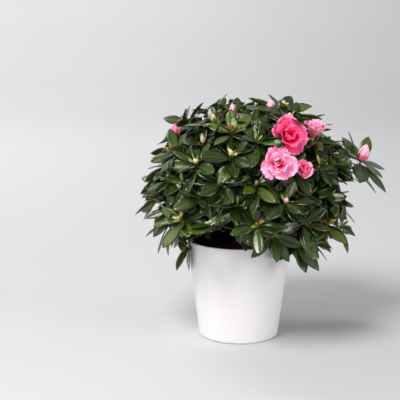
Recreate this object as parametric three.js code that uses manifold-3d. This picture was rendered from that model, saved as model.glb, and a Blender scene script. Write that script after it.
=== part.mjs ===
// A potted azalea: a plain white conical pot filled with peat, a short trunk that forks low into
// slender boughs, and a broad crown of foliage masses with a few double pink flowers.
// Millimetres, +Z up. The origin is the centre of the pot's underside, and the front is -Y.
import * as THREE from "three";
import { mergeVertices } from "three/addons/utils/BufferGeometryUtils.js";
import Module from "manifold-3d";

const wasm = await Module();
wasm.setup();

// Driving dimensions
const pot = { height: 134, rimRadius: 70, footRadius: 54, wall: 3.5, floor: 5, edgeRound: 3, sides: 36 };
const peat = { belowRim: 8, edgeDip: 3, flatRadius: 24, midRadius: 45, unevenness: 1.3 };
const trunk = { height: 19, flareRadius: 11.5, waistRadius: 6.3, forkRadius: 7.8, lean: 2.5, sides: 9 };
const crown = { x: 14, y: 0, z: 198, halfWidth: 117, rise: 104, drop: 90, squareness: 2.6, heartShare: 0.64 };
const sites = {
  count: 92, lowestDeg: -31, leastReach: 0.89, mostReach: 1.088, leastUp: 0.5, mostUp: 1.3,
  rounds: 40, push: 0.0004,
};
const boughs = {
  tipShare: 0.42, sides: 5, steps: 3, rootRadius: 3.7, sideRootRadius: 2.7, tipRadius: 1.8,
  lowestOnTrunk: 0.42, nextOnTrunk: 0.09, topOnTrunk: 0.9, firstFork: 0.34, nextFork: 0.2,
  spread: 0.3, lift: 0.42, sideLift: 0.12,
};
const stem = { endShare: 0.7, sides: 4, steps: 2, endRadius: 1.3, firstTwig: 0.25, lastTwig: 0.96 };
const twig = { radius: 1.4, tipRadius: 1.15, corners: 3, rings: [0, 0.5], bend: 0.35 };
const leaf = {
  length: 43, width: 18, droop: 0.14, fold: 1.2, perWhorl: 6,
  lowTiltDeg: 86, steepTiltDeg: 58, steepShare: 0.84, tiltSpreadDeg: 8, turnsTried: 5,
};
const besideBud = { lengthShare: 1.12, droopDeg: 30 };
const onLongShoot = { lengthShare: 1.25, droopDeg: 15, firstTurnDeg: -56 };
const hub = { radius: 2.1, halfHeight: 1.1, notchRadius: 3.1, footDrop: 1.76, budLength: 5.5 };
// Whorls of petals, from the outermost to the innermost of a flower. height, in mm, is how far up the
// flower's axis each stands, and share is its petals' length against the flower's radius.
const petalWhorlPlan = {
  bloom: [
    { petals: 5, height: 4, tiltDeg: 76, share: 1 },
    { petals: 5, height: 6.5, tiltDeg: 50, share: 0.84 },
    { petals: 4, height: 9, tiltDeg: 24, share: 0.58 },
  ],
  half: [
    { petals: 5, height: 4, tiltDeg: 36, share: 1 },
    { petals: 5, height: 6.5, tiltDeg: 20, share: 0.9 },
  ],
};
const petal = { notchShare: 0.62, foldShare: 0.07, droop: 0.1, tiltSpreadDeg: 5, bud: 4 };
const bud = { foot: 2, radiusShare: 0.27, upShare: 1, sides: 6 };
const gap = 0.3;
const clearance = { cell: 0.35, limb: 3, pot: 1.6 };
const limbSamples = 24;
const smallestEdge = 0.05;

// Directions in which no shoot ends: over the peat at the pot's front, and round the crown's underside.
const openings = [
  [-100, -24], [-122, -25], [-138, -28], [-112, -34], [-86, -33], [-62, -40], [-30, -62], [15, -60],
  [60, -60], [105, -60], [150, -60], [-165, -62], [-120, -62], [-75, -64],
];

// Outlines of a leaf and of a petal, from one side of the root round to the other. Each corner tells how
// far along the blade it lies, how far aside, and how far it is raised, as shares of length and width.
const leafOutline = [[0.34, -0.42, 1], [0.7, -0.46, 1], [1, 0, 0], [0.7, 0.46, 1], [0.34, 0.42, 1]];
const petalOutline = [[0.88, -0.5, -1.6], [0.97, 0, 1.6], [0.86, 0.5, 0.4]];

// The flowers, the coloured buds and the leafy sprays that mark the outline, each on the shoot that
// points its way from the crown's centre. size is the flower's radius or the bud's length, and reach is
// how far out the shoot's tip stands against the other shoots. upShare is how strongly the shoot turns
// upwards at its tip, and frontShare, where it is given, how strongly it turns to the front. A flower turns
// outwards instead.
const accents = [
  { kind: "bloom", azimuthDeg: -61, elevationDeg: 44, size: 26, reach: 0.98, upShare: -0.4 },
  { kind: "bloom", azimuthDeg: -73, elevationDeg: 26, size: 24, reach: 0.98, upShare: -0.15 },
  { kind: "half", azimuthDeg: -57, elevationDeg: 23, size: 18, reach: 0.93, upShare: -0.1 },
  { kind: "half", azimuthDeg: -30, elevationDeg: 40, size: 22, reach: 0.98, upShare: 2.2 },
  { kind: "bud", azimuthDeg: -2, elevationDeg: 16, size: 24, reach: 1.29, upShare: 1.6, frontShare: 0.9 },
  { kind: "bud", azimuthDeg: -140, elevationDeg: 74, size: 14, reach: 1.03, upShare: 0.5 },
  { kind: "bud", azimuthDeg: -38, elevationDeg: 74, size: 16, reach: 1.06, upShare: 0.5 },
  { kind: "bloom", azimuthDeg: 62, elevationDeg: 40, size: 24, reach: 0.98, upShare: -0.2 },
  { kind: "bloom", azimuthDeg: 148, elevationDeg: 30, size: 22, reach: 0.98, upShare: -0.1 },
  { kind: "half", azimuthDeg: 108, elevationDeg: 20, size: 18, reach: 0.98, upShare: 0.2 },
  { kind: "bud", azimuthDeg: 190, elevationDeg: 38, size: 16, reach: 1.02, upShare: 0.5 },
  { kind: "leaves", azimuthDeg: -74, elevationDeg: -18, size: 0, reach: 0.95, upShare: 0.55 },
  { kind: "leaves", azimuthDeg: -6, elevationDeg: -20, size: 0, reach: 1.1, upShare: 0.6 },
  { kind: "leaves", azimuthDeg: -32, elevationDeg: -31, size: 0, reach: 0.98, upShare: 0.5 },
  { kind: "leaves", azimuthDeg: -160, elevationDeg: -37, size: 0, reach: 0.98, upShare: 0.5 },
  { kind: "leaves", azimuthDeg: -161, elevationDeg: -20, size: 0, reach: 1.02, upShare: 0.5 },
  { kind: "leaves", azimuthDeg: -103, elevationDeg: 31, size: 0, reach: 1.0, upShare: 0.55 },
  { kind: "leaves", azimuthDeg: -25, elevationDeg: 68, size: 0, reach: 1.11, upShare: 0.7 },
  { kind: "leaves", azimuthDeg: 160, elevationDeg: 79, size: 0, reach: 0.94, upShare: 0.8 },
];

const crownCentre = new THREE.Vector3(crown.x, crown.y, crown.z);
const up = new THREE.Vector3(0, 0, 1);
const front = new THREE.Vector3(0, -1, 0);
const peatTop = pot.height - peat.belowRim;
const goldenDeg = 137.508;
const { clamp, degToRad, lerp } = THREE.MathUtils;

// Repeatable random numbers: the same seed always deals the same row.
function dice(seed) {
  const size = 4294967296;
  let state = (seed * 7919 + 104729) % size;
  const roll = (low, high) => {
    state = (state * 1664525 + 1013904223) % size;
    return low + ((high - low) * state) / size;
  };
  for (let i = 0; i < 5; i++) roll(0, 1);
  return roll;
}

function direction(azimuthDeg, elevationDeg) {
  const azimuth = degToRad(azimuthDeg);
  const elevation = degToRad(elevationDeg);
  const level = Math.cos(elevation);
  return new THREE.Vector3(Math.cos(azimuth) * level, Math.sin(azimuth) * level, Math.sin(elevation));
}

// How far the shoot tips stand from the crown's centre: a dome with squarish shoulders.
function reachTo(way) {
  const across = Math.hypot(way.x, way.y) / crown.halfWidth;
  const along = Math.abs(way.z) / (way.z > 0 ? crown.rise : crown.drop);
  return (across ** crown.squareness + along ** crown.squareness) ** (-1 / crown.squareness);
}

function fromCentre(way, share) {
  return crownCentre.clone().addScaledVector(way, reachTo(way) * share);
}

// Solids

function solidOf(geometry) {
  const bare = new THREE.BufferGeometry();
  bare.setAttribute("position", geometry.getAttribute("position"));
  if (geometry.index) bare.setIndex(geometry.index);
  const merged = mergeVertices(bare, 1e-4);
  return new wasm.Manifold(
    new wasm.Mesh({
      numProp: 3,
      vertProperties: new Float32Array(merged.getAttribute("position").array),
      triVerts: new Uint32Array(merged.index.array),
    }),
  );
}

function geometryOf(solid) {
  const mesh = solid.getMesh();
  const geometry = new THREE.BufferGeometry();
  geometry.setAttribute("position", new THREE.BufferAttribute(mesh.vertProperties, 3));
  geometry.setIndex(new THREE.BufferAttribute(mesh.triVerts, 1));
  geometry.computeVertexNormals();
  return geometry;
}

// Joins solids into one body. Loose scraps are dropped, and so are the walls of sealed hollows.
function fused(solids) {
  const joined = wasm.Manifold.union(solids).simplify(smallestEdge);
  const bodies = joined.decompose().sort((a, b) => b.volume() - a.volume());
  return bodies[0];
}

function latheOf(profile, sides) {
  return new THREE.LatheGeometry(profile.map(([r, z]) => new THREE.Vector2(r, z)), sides);
}

// A tapering round limb: a cylinder bent along a curve.
function limb(curve, startRadius, endRadius, sides, steps) {
  const geometry = new THREE.CylinderGeometry(1, 1, 1, sides, steps);
  const place = geometry.getAttribute("position");
  const chord = curve.getPoint(1).sub(curve.getPoint(0)).normalize();
  const side = Math.abs(chord.z) > 0.8 ? new THREE.Vector3(1, 0, 0) : up;
  for (let i = 0; i < place.count; i++) {
    const t = place.getY(i) + 0.5;
    const along = curve.getTangent(t);
    const across = side.clone().addScaledVector(along, -side.dot(along)).normalize();
    const beside = across.clone().cross(along);
    const radius = lerp(startRadius, endRadius, t);
    const point = curve
      .getPoint(t)
      .addScaledVector(across, place.getX(i) * radius)
      .addScaledVector(beside, place.getZ(i) * radius);
    place.setXYZ(i, point.x, point.y, point.z);
  }
  return solidOf(geometry);
}

// Pot, peat and trunk

function potGeometry() {
  const { height, rimRadius, footRadius, wall, floor, edgeRound, sides } = pot;
  const profile = [
    [0, 0], [footRadius - edgeRound, 0], [footRadius - 0.9, 0.9], [footRadius, edgeRound],
    [rimRadius, height - 1], [rimRadius - 0.8, height], [rimRadius - wall + 0.8, height],
    [rimRadius - wall, height - 1], [footRadius - wall, floor], [0, floor],
  ];
  return latheOf(profile, sides).rotateX(Math.PI / 2);
}

function innerRadius(z) {
  const share = (z - pot.floor) / (pot.height - 1 - pot.floor);
  return lerp(pot.footRadius - pot.wall, pot.rimRadius - pot.wall, share);
}

function outerRadius(z) {
  const share = (z - pot.edgeRound) / (pot.height - 1 - pot.edgeRound);
  return lerp(pot.footRadius, pot.rimRadius, share);
}

function peatGeometry() {
  const bottom = pot.floor + gap;
  const edge = peatTop - peat.edgeDip;
  const profile = [
    [0, bottom], [innerRadius(bottom) - 2 * gap, bottom], [innerRadius(edge) - 2 * gap, edge],
    [peat.midRadius, peatTop - 1], [peat.flatRadius, peatTop], [0, peatTop],
  ];
  const geometry = latheOf(profile, pot.sides).rotateX(Math.PI / 2);
  const place = geometry.getAttribute("position");
  const roll = dice(500);
  const bumps = Array.from({ length: pot.sides }, () => roll(-1, 1) * peat.unevenness);
  for (let i = 0; i < place.count; i++) {
    const column = Math.floor(i / profile.length) % pot.sides;
    const ring = i % profile.length;
    if (ring === 2 || ring === 3) place.setZ(i, place.getZ(i) + bumps[(column * ring * 5) % pot.sides]);
  }
  return geometry;
}

function trunkPoint(share) {
  return new THREE.Vector3(trunk.lean * share, 0, peatTop + gap + trunk.height * share);
}

// The trunk swells at the peat and again at the fork. extra grows it, to cut the boughs clear of it.
function trunkSolid(extra) {
  const { flareRadius, waistRadius, forkRadius, height } = trunk;
  const profile = [
    [0, -extra], [flareRadius + extra, -extra], [lerp(waistRadius, flareRadius, 0.35) + extra, height * 0.2],
    [waistRadius + extra, height * 0.5], [forkRadius + extra, height * 0.84],
    [forkRadius * 0.75 + extra, height + extra], [0, height + extra],
  ];
  const geometry = latheOf(profile, trunk.sides).rotateX(Math.PI / 2);
  const place = geometry.getAttribute("position");
  for (let i = 0; i < place.count; i++) {
    const base = trunkPoint(place.getZ(i) / height);
    place.setXYZ(i, place.getX(i) + base.x, place.getY(i) + base.y, place.getZ(i) + peatTop + gap);
  }
  return solidOf(geometry);
}

// The masses: one on top, a ring on the shoulders and a ring round the side. A shoot belongs to the mass
// whose heart is nearest to its tip.
const massPlan = [
  { name: "top", count: 1, firstDeg: 0, elevationDeg: 90 },
  { name: "upper", count: 4, firstDeg: -75, elevationDeg: 42 },
  { name: "lower", count: 5, firstDeg: -36, elevationDeg: -4 },
];
const masses = massPlan.flatMap((ring) =>
  Array.from({ length: ring.count }, (_, i) => {
    const azimuthDeg = ring.firstDeg + (360 / ring.count) * i;
    const way = direction(azimuthDeg, ring.elevationDeg);
    return {
      name: ring.count > 1 ? `${ring.name}_${i + 1}` : ring.name,
      ring: ring.name, azimuthDeg, way, heart: fromCentre(way, crown.heartShare), shoots: [],
    };
  }),
);

// Boughs

function boughCurve(start, mass, lift) {
  const end = fromCentre(mass.way, boughs.tipShare);
  const length = start.distanceTo(end);
  const outward = new THREE.Vector3(mass.way.x, mass.way.y, 0);
  const bend = start.clone()
    .addScaledVector(outward, length * boughs.spread)
    .addScaledVector(up, length * lift);
  return new THREE.QuadraticBezierCurve3(start, bend, end);
}

// The top and shoulder boughs leave the trunk, and each side bough leaves the shoulder bough nearest to it.
for (const [i, mass] of masses.filter((m) => m.ring !== "lower").entries()) {
  const height = i ? boughs.lowestOnTrunk + boughs.nextOnTrunk * i : boughs.topOnTrunk;
  const curve = boughCurve(trunkPoint(height), mass, boughs.lift);
  mass.bough = { curve, radius: boughs.rootRadius };
}
for (const mass of masses.filter((m) => m.ring === "lower")) {
  const turnTo = (m) => Math.abs(((mass.azimuthDeg - m.azimuthDeg + 540) % 360) - 180);
  const carrier = masses.filter((m) => m.ring === "upper").sort((a, b) => turnTo(a) - turnTo(b))[0];
  const taken = masses.filter((m) => m.carrier === carrier).length;
  mass.carrier = carrier;
  const start = carrier.bough.curve.getPoint(boughs.firstFork + boughs.nextFork * taken);
  mass.bough = { curve: boughCurve(start, mass, boughs.sideLift), radius: boughs.sideRootRadius };
}

function boughSolid(mass, extra) {
  const { curve, radius } = mass.bough;
  return limb(curve, radius + extra, boughs.tipRadius + extra, boughs.sides, boughs.steps);
}

// The distance by which a point lies inside its mass's own space: nearer to that mass's stem, twigs
// and shoot tips than to any other's.
function insideBy(point, mass) {
  const nearest = (m) => Math.sqrt(Math.min(...m.frame.map((p) => p.distanceToSquared(point))));
  const own = nearest(mass);
  return Math.min(...masses.filter((m) => m !== mass).map((m) => nearest(m) - own)) / 2;
}

const limbPoints = masses.flatMap(({ bough }) =>
  Array.from({ length: limbSamples + 1 }, (_, i) => ({
    point: bough.curve.getPoint(i / limbSamples),
    radius: lerp(bough.radius, boughs.tipRadius, i / limbSamples),
  })),
);

// Whether these points stay in their mass's own space, and off the limbs and the pot.
function fits(points, mass) {
  return points.every((p) => {
    const out = Math.hypot(p.x, p.y);
    if (p.z < pot.height + clearance.pot && out < outerRadius(p.z) + clearance.pot) return false;
    if (limbPoints.some((l) => p.distanceTo(l.point) < l.radius + clearance.limb)) return false;
    return insideBy(p, mass) > clearance.cell;
  });
}

// Shoots: where each one ends, and what it carries there.

function spreadWays() {
  const lowest = Math.sin(degToRad(sites.lowestDeg));
  return Array.from({ length: sites.count }, (_, i) => {
    const height = 1 - ((i + 0.5) / sites.count) * (1 - lowest);
    const elevationDeg = Math.asin(height) / degToRad(1);
    return direction(i * goldenDeg, elevationDeg);
  });
}

const shoots = spreadWays().map((way, i) => {
  const roll = dice(i + 1);
  const reach = roll(sites.leastReach, sites.mostReach);
  const upShare = roll(sites.leastUp, sites.mostUp);
  return { kind: "plain", way, roll, size: 0, reach, upShare, frontShare: 0 };
});
for (const { azimuthDeg, elevationDeg, ...accent } of accents) {
  const way = direction(azimuthDeg, elevationDeg);
  const free = shoots.filter((s) => s.kind === "plain");
  const nearest = free.sort((a, b) => a.way.angleTo(way) - b.way.angleTo(way))[0];
  Object.assign(nearest, { way, ...accent });
}
// The plain shoots move apart until they stand evenly between the accents and the openings.
const fixed = openings.map(([azimuthDeg, elevationDeg]) => direction(azimuthDeg, elevationDeg));
for (let round = 0; round < sites.rounds; round++) {
  for (const shoot of shoots.filter((s) => s.kind === "plain")) {
    const push = new THREE.Vector3();
    for (const other of [...shoots.filter((s) => s !== shoot).map((s) => s.way), ...fixed]) {
      const away = shoot.way.clone().sub(other);
      push.addScaledVector(away, Math.max(away.length(), 0.1) ** -4);
    }
    shoot.way.addScaledVector(push, sites.push).normalize();
    shoot.way.z = Math.max(shoot.way.z, Math.sin(degToRad(sites.lowestDeg)));
    shoot.way.normalize();
  }
}
for (const shoot of shoots) {
  shoot.tip = fromCentre(shoot.way, shoot.reach);
  const away = (m) => m.heart.distanceTo(shoot.tip);
  shoot.mass = masses.reduce((best, m) => (away(m) < away(best) ? m : best));
  const turned = shoot.way.clone().addScaledVector(up, shoot.upShare);
  shoot.axis = turned.addScaledVector(front, shoot.frontShare).normalize();
  shoot.mass.shoots.push(shoot);
}

// Each mass has one stem, which goes on from its bough's tip. The twigs leave it in turn, and the
// outermost shoots leave it first.
for (const mass of masses) {
  const tipWay = mass.bough.curve.getTangent(1);
  const start = mass.bough.curve.getPoint(1).addScaledVector(tipWay, gap);
  const end = fromCentre(mass.way, stem.endShare);
  const bend = start.clone().addScaledVector(tipWay, start.distanceTo(end) * 0.5);
  mass.stem = new THREE.QuadraticBezierCurve3(start, bend, end);
  mass.shoots.sort((a, b) => b.way.angleTo(mass.way) - a.way.angleTo(mass.way));
  mass.shoots.forEach((shoot, i) => {
    const order = i / Math.max(mass.shoots.length - 1, 1);
    const foot = mass.stem.getPoint(lerp(stem.firstTwig, stem.lastTwig, order));
    const bow = foot.distanceTo(shoot.tip) * twig.bend;
    const turn = shoot.tip.clone().addScaledVector(shoot.axis, -bow);
    shoot.curve = new THREE.QuadraticBezierCurve3(foot, turn, shoot.tip);
  });
  mass.frame = [
    ...[0, 0.33, 0.66, 1].map((t) => mass.stem.getPoint(t)),
    ...mass.shoots.flatMap(({ curve }) => [0.5, 0.8, 1].map((t) => curve.getPoint(t))),
  ];
}

// Whorls

// Two directions square to an axis and to each other.
function squareTo(axis) {
  const level = Math.abs(axis.z) > 0.95 ? new THREE.Vector3(1, 0, 0) : up;
  const u = level.clone().cross(axis).normalize();
  return [u, axis.clone().cross(u)];
}

// A point of a whorl, given by its turn round the axis, its distance from it and its height along it.
function whorlPoint({ centre, axis }, turn, out, rise) {
  const [u, v] = squareTo(axis);
  return centre.clone()
    .addScaledVector(u, Math.cos(turn) * out)
    .addScaledVector(v, Math.sin(turn) * out)
    .addScaledVector(axis, rise);
}

// The corners of one blade of a whorl. A steep blade keeps within its own share of the turn.
function bladeCorners(whorl, blade) {
  return whorl.outline.map(([along, aside, raised]) => {
    const out = Math.max(along * blade.length * Math.sin(blade.tilt), hub.notchRadius);
    const turn = clamp(Math.atan2(aside * blade.width, out), -whorl.halfShare, whorl.halfShare);
    const rise = along * blade.length * Math.cos(blade.tilt) + raised * whorl.fold;
    const sag = whorl.droop * blade.length * along * along;
    return whorlPoint(whorl, blade.turn + turn, out / Math.cos(turn), rise - sag);
  });
}

// A corner of a shoot's twig, where t tells how far along it lies.
function twigPoint({ axis, curve }, turn, t) {
  const [u, v] = squareTo(axis);
  const lean = new THREE.Quaternion().setFromUnitVectors(axis, curve.getTangent(t));
  const across = u.multiplyScalar(Math.cos(turn)).addScaledVector(v, Math.sin(turn));
  const radius = lerp(twig.radius, twig.tipRadius, t);
  return curve.getPoint(t).addScaledVector(across.applyQuaternion(lean), radius);
}

// A whorl of blades as one body: a lathe whose wide ring is drawn out into the blades' edges, between
// two small rings that close up to one corner at each blade's root and make the hub. Under a whorl of
// leaves further rings go down the twig.
function whorlSolid(whorl) {
  const { blades, outline, curve } = whorl;
  const perBlade = outline.length + 1;
  const halfTurn = Math.PI / blades.length;
  const corners = blades.map((blade) => bladeCorners(whorl, blade));
  const notch = whorl.notch ?? { out: hub.notchRadius, rise: 0 };
  const pole = (rise) => () => whorlPoint(whorl, 0, 0, rise);
  const ring = (rise) => (blade) => whorlPoint(whorl, blades[blade].turn, hub.radius, rise);
  const edge = (blade, corner) =>
    corner
      ? corners[blade][corner - 1]
      : whorlPoint(whorl, blades[blade].turn - halfTurn, notch.out, notch.rise);
  const twigRing = (t) => (blade) => {
    const corner = Math.floor((blade * twig.corners) / blades.length);
    return twigPoint(whorl, blades[0].turn + ((corner + 0.25) * 2 * Math.PI) / twig.corners, t);
  };
  const foot = curve ? [() => curve.getPoint(0), ...twig.rings.map(twigRing)] : [pole(-hub.footDrop)];
  const rings = [...foot, ring(-hub.halfHeight), edge, ring(hub.halfHeight), pole(whorl.bud)];
  const geometry = latheOf(rings.map((_, i) => [1, i]), blades.length * perBlade);
  const place = geometry.getAttribute("position");
  for (let i = 0; i < place.count; i++) {
    const column = Math.floor(i / rings.length) % (blades.length * perBlade);
    const point = rings[i % rings.length](Math.floor(column / perBlade), column % perBlade);
    place.setXYZ(i, point.x, point.y, point.z);
  }
  return solidOf(geometry);
}

function evenTurns(count, first) {
  return Array.from({ length: count }, (_, k) => first + (k * 2 * Math.PI) / count);
}

// A blade as a thin sheet: the lines round it and down its middle, and the faces between them.
function sheetOf(root, corners) {
  const rim = [root, ...corners];
  const edges = rim.map((p, i) => [p, rim[(i + 1) % rim.length]]);
  const middle = [root, corners[(corners.length - 1) / 2]];
  return { lines: [...edges, middle], faces: corners.slice(1).map((p, i) => [root, corners[i], p]) };
}

const ray = new THREE.Ray();
const hit = new THREE.Vector3();

function pierces([from, to], [a, b, c]) {
  const length = from.distanceTo(to);
  ray.set(from, to.clone().sub(from).divideScalar(length));
  return ray.intersectTriangle(a, b, c, false, hit) !== null && hit.distanceTo(from) < length;
}

function crosses(one, other) {
  const through = (p, q) => p.lines.some((line) => q.faces.some((face) => pierces(line, face)));
  return through(one, other) || through(other, one);
}

function rootOf(whorl, blade) {
  return whorlPoint(whorl, blade.turn, hub.radius, 0);
}

function sheetsOf(whorl) {
  return whorl.blades.map((blade) => sheetOf(rootOf(whorl, blade), bladeCorners(whorl, blade)));
}

// How a leaf gives way where it would leave the mass's space or cross another shoot: by how many degrees
// it is raised, and the share of its length that it keeps.
const givingWay = [
  [0, 1], [-9, 1], [14, 1], [28, 1], [40, 0.95], [0, 0.75], [22, 0.8], [38, 0.8], [0, 0.5], [30, 0.55],
];

function placedLeaf(whorl, mass, others, { turn, tiltDeg, length, width }) {
  for (const [raiseDeg, share] of givingWay) {
    const tilt = degToRad(tiltDeg - raiseDeg);
    const blade = { turn, tilt, length: length * share, width: width * Math.sqrt(share) };
    const corners = bladeCorners(whorl, blade);
    const middle = corners[2].clone().lerp(whorl.centre, 0.35);
    if (!fits([...corners, middle], mass)) continue;
    const sheet = sheetOf(rootOf(whorl, blade), corners);
    if (!others.some((other) => crosses(sheet, other))) return blade;
  }
  return { turn, tilt: degToRad(tiltDeg), length: hub.notchRadius * 1.2, width: 3 };
}

// The leaves round a shoot's tip: every other one stands steeper and is shorter. The whorl is turned to
// where its leaves find the most room, and a leaf that finds none stays a small scale. Beside a coloured
// bud the leaves are longer and droop. The long shoot, which turns to the front, holds the longest ones.
function leafWhorl(shoot) {
  const { mass, roll, kind } = shoot;
  const whorl = {
    centre: shoot.tip, axis: shoot.axis, curve: shoot.curve, outline: leafOutline, fold: leaf.fold,
    droop: leaf.droop, halfShare: (Math.PI / leaf.perWhorl) * 0.92, bud: hub.budLength * roll(0.7, 1.4),
  };
  const others = mass.sheets.filter((sheet) => sheet.shoot !== shoot || sheet.petal);
  const flowering = kind === "bloom" || kind === "half";
  const anyTurn = roll(0, Math.PI * 2);
  const isLong = shoot.frontShare > 0;
  const firstTurn = isLong ? degToRad(onLongShoot.firstTurnDeg) : anyTurn;
  const budded = isLong ? onLongShoot : besideBud;
  const droopDeg = kind === "bud" ? budded.droopDeg : 0;
  const length = leaf.length * (kind === "bud" ? budded.lengthShare : 1);
  const leaves = evenTurns(leaf.perWhorl, 0).map((turn, k) => {
    const steep = !flowering && k % 2 === 1;
    return {
      turn,
      tiltDeg: (steep ? leaf.steepTiltDeg : leaf.lowTiltDeg) + droopDeg + roll(-1, 1) * leaf.tiltSpreadDeg,
      length: length * (steep ? leaf.steepShare : 1) * roll(0.86, 1.1),
      width: leaf.width * roll(0.88, 1.08),
    };
  });
  const room = (blades) => blades.reduce((sum, blade) => sum + blade.length, 0);
  const turned = evenTurns(leaf.turnsTried * leaf.perWhorl, firstTurn).slice(0, leaf.turnsTried).map((turn) =>
    leaves.map((one) => placedLeaf(whorl, mass, others, { ...one, turn: one.turn + turn })),
  );
  whorl.blades = turned.reduce((best, blades) => (room(blades) > room(best) ? blades : best));
  mass.sheets.push(...sheetsOf(whorl).map((sheet) => ({ ...sheet, shoot })));
  return whorl;
}

// A ruffled funnel of petals, cut in between its lobes.
function petalWhorl(shoot, { petals, height, tiltDeg, share }, firstTurn) {
  const length = shoot.size * share;
  const blades = evenTurns(petals, firstTurn).map((turn) => ({
    turn,
    tilt: degToRad(tiltDeg + shoot.roll(-1, 1) * petal.tiltSpreadDeg),
    length: length * shoot.roll(0.92, 1.06),
    width: length,
  }));
  const tilt = degToRad(tiltDeg);
  const notch = petal.notchShare * length;
  return {
    centre: shoot.tip.clone().addScaledVector(shoot.axis, height), axis: shoot.axis, blades,
    outline: petalOutline, fold: length * petal.foldShare, droop: petal.droop,
    halfShare: (Math.PI / petals) * 0.8, bud: petal.bud,
    notch: { out: notch * Math.sin(tilt), rise: notch * Math.cos(tilt) },
  };
}

function petalWhorls(shoot) {
  const plan = petalWhorlPlan[shoot.kind] ?? [];
  const firstTurn = shoot.roll(0, Math.PI * 2);
  return plan.map((ring, i) => petalWhorl(shoot, ring, firstTurn + ((i % 2) * Math.PI) / ring.petals));
}

// A coloured bud stands more upright than its shoot.
function budSolid(shoot) {
  const profile = [[0, 0], [0.62, 0.14], [1, 0.42], [0.6, 0.78], [0, 1]];
  const geometry = latheOf(profile, bud.sides);
  const place = geometry.getAttribute("position");
  const turns = evenTurns(bud.sides, 0);
  const axis = shoot.axis.clone().addScaledVector(up, bud.upShare).normalize();
  for (let i = 0; i < place.count; i++) {
    const turn = turns[Math.floor(i / profile.length) % bud.sides];
    const [out, rise] = profile[i % profile.length];
    const upright = { centre: shoot.tip, axis };
    const point = whorlPoint(upright, turn, out * shoot.size * bud.radiusShare, bud.foot + rise * shoot.size);
    place.setXYZ(i, point.x, point.y, point.z);
  }
  return solidOf(geometry);
}

// Twigs and masses

function massSolid(mass) {
  const solids = [limb(mass.stem, boughs.tipRadius, stem.endRadius, stem.sides, stem.steps)];
  const standing = mass.shoots.filter(({ curve }) =>
    fits([0.3, 0.5, 0.7, 0.9].map((t) => curve.getPoint(t)), mass),
  );
  mass.sheets = [];
  for (const shoot of standing) {
    const points = [0, 0.25, 0.5, 0.75, 1].map((t) => shoot.curve.getPoint(t));
    mass.sheets.push({ shoot, lines: points.slice(1).map((p, i) => [points[i], p]), faces: [] });
    if (shoot.kind === "bud") solids.push(budSolid(shoot));
    const petals = petalWhorls(shoot);
    solids.push(...petals.map(whorlSolid));
    const sheets = petals.flatMap(sheetsOf);
    mass.sheets.push(...sheets.map((sheet) => ({ ...sheet, shoot, petal: true })));
  }
  solids.push(...standing.map((shoot) => whorlSolid(leafWhorl(shoot))));
  return fused(solids);
}

// Assembly

const looks = {
  pot: { color: 0xf2f1ef, roughness: 0.28, metalness: 0 },
  peat: { color: 0x3a2a1e, roughness: 0.95, metalness: 0 },
  bark: { color: 0x5a4032, roughness: 0.85, metalness: 0 },
  foliage: { color: 0x2f4d24, roughness: 0.4, metalness: 0 },
};

const group = new THREE.Group();
group.name = "azalea";

function add(name, geometry, look) {
  const mesh = new THREE.Mesh(geometry, new THREE.MeshStandardMaterial(looks[look]));
  mesh.name = name;
  group.add(mesh);
}

add("pot", potGeometry(), "pot");
add("peat", peatGeometry(), "peat");
add("trunk", geometryOf(trunkSolid(0)), "bark");

// Each bough is cut clear of the trunk and of the boughs that stand before it.
const inTheWay = [trunkSolid(gap)];
for (const mass of masses) {
  const clear = boughSolid(mass, 0).subtract(wasm.Manifold.union(inTheWay));
  inTheWay.push(boughSolid(mass, gap));
  add(`bough_${mass.name}`, geometryOf(fused([clear])), "bark");
}
for (const mass of masses) {
  add(`foliage_${mass.name}`, geometryOf(massSolid(mass)), "foliage");
}

export default group;
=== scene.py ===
# %% [markdown]
# # A potted azalea
# The real thing is a small evergreen shrub in a plain white pot: a short trunk, ten slender boughs,
# and a broad dome of dark glossy leaves with a few double pink flowers. A separate solid model gives its
# sizes. This file loads that model and dresses it, mass by mass, with twigs, leaves and petals that grow
# by the same rule, only finer.

# %% Load the frame
import math

import bpy
import numpy as np
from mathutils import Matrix, Vector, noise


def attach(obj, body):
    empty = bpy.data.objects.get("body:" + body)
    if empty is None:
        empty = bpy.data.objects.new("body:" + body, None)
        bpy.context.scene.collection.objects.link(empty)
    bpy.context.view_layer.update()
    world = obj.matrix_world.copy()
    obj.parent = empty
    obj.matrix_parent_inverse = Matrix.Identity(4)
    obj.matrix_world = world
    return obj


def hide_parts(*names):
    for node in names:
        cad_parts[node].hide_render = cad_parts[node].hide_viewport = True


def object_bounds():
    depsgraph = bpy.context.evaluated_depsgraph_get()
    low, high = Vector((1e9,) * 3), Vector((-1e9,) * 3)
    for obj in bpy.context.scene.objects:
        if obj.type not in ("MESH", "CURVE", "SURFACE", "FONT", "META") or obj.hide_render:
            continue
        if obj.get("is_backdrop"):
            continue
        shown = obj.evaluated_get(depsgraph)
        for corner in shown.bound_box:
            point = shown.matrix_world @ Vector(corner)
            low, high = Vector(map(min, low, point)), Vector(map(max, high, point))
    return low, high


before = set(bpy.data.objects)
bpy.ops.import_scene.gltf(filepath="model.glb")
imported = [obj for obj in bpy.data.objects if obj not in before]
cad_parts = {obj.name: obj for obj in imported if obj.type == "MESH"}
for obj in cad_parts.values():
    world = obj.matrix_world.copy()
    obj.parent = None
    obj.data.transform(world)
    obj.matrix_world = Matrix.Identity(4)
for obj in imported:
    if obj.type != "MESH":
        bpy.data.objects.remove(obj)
cad_low, cad_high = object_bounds()
MM = 0.001
FULL_TURN = 2 * math.pi
print("nodes", len(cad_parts), "size in mm", [round(v / MM) for v in cad_high - cad_low])

# %% [markdown]
# ## The camera
# The photo looks down a little on the pot from about one and a half metres. The pot's rim and foot show
# as two ellipses, and their shapes and places fix the camera's height, distance, tilt and lens.

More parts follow.
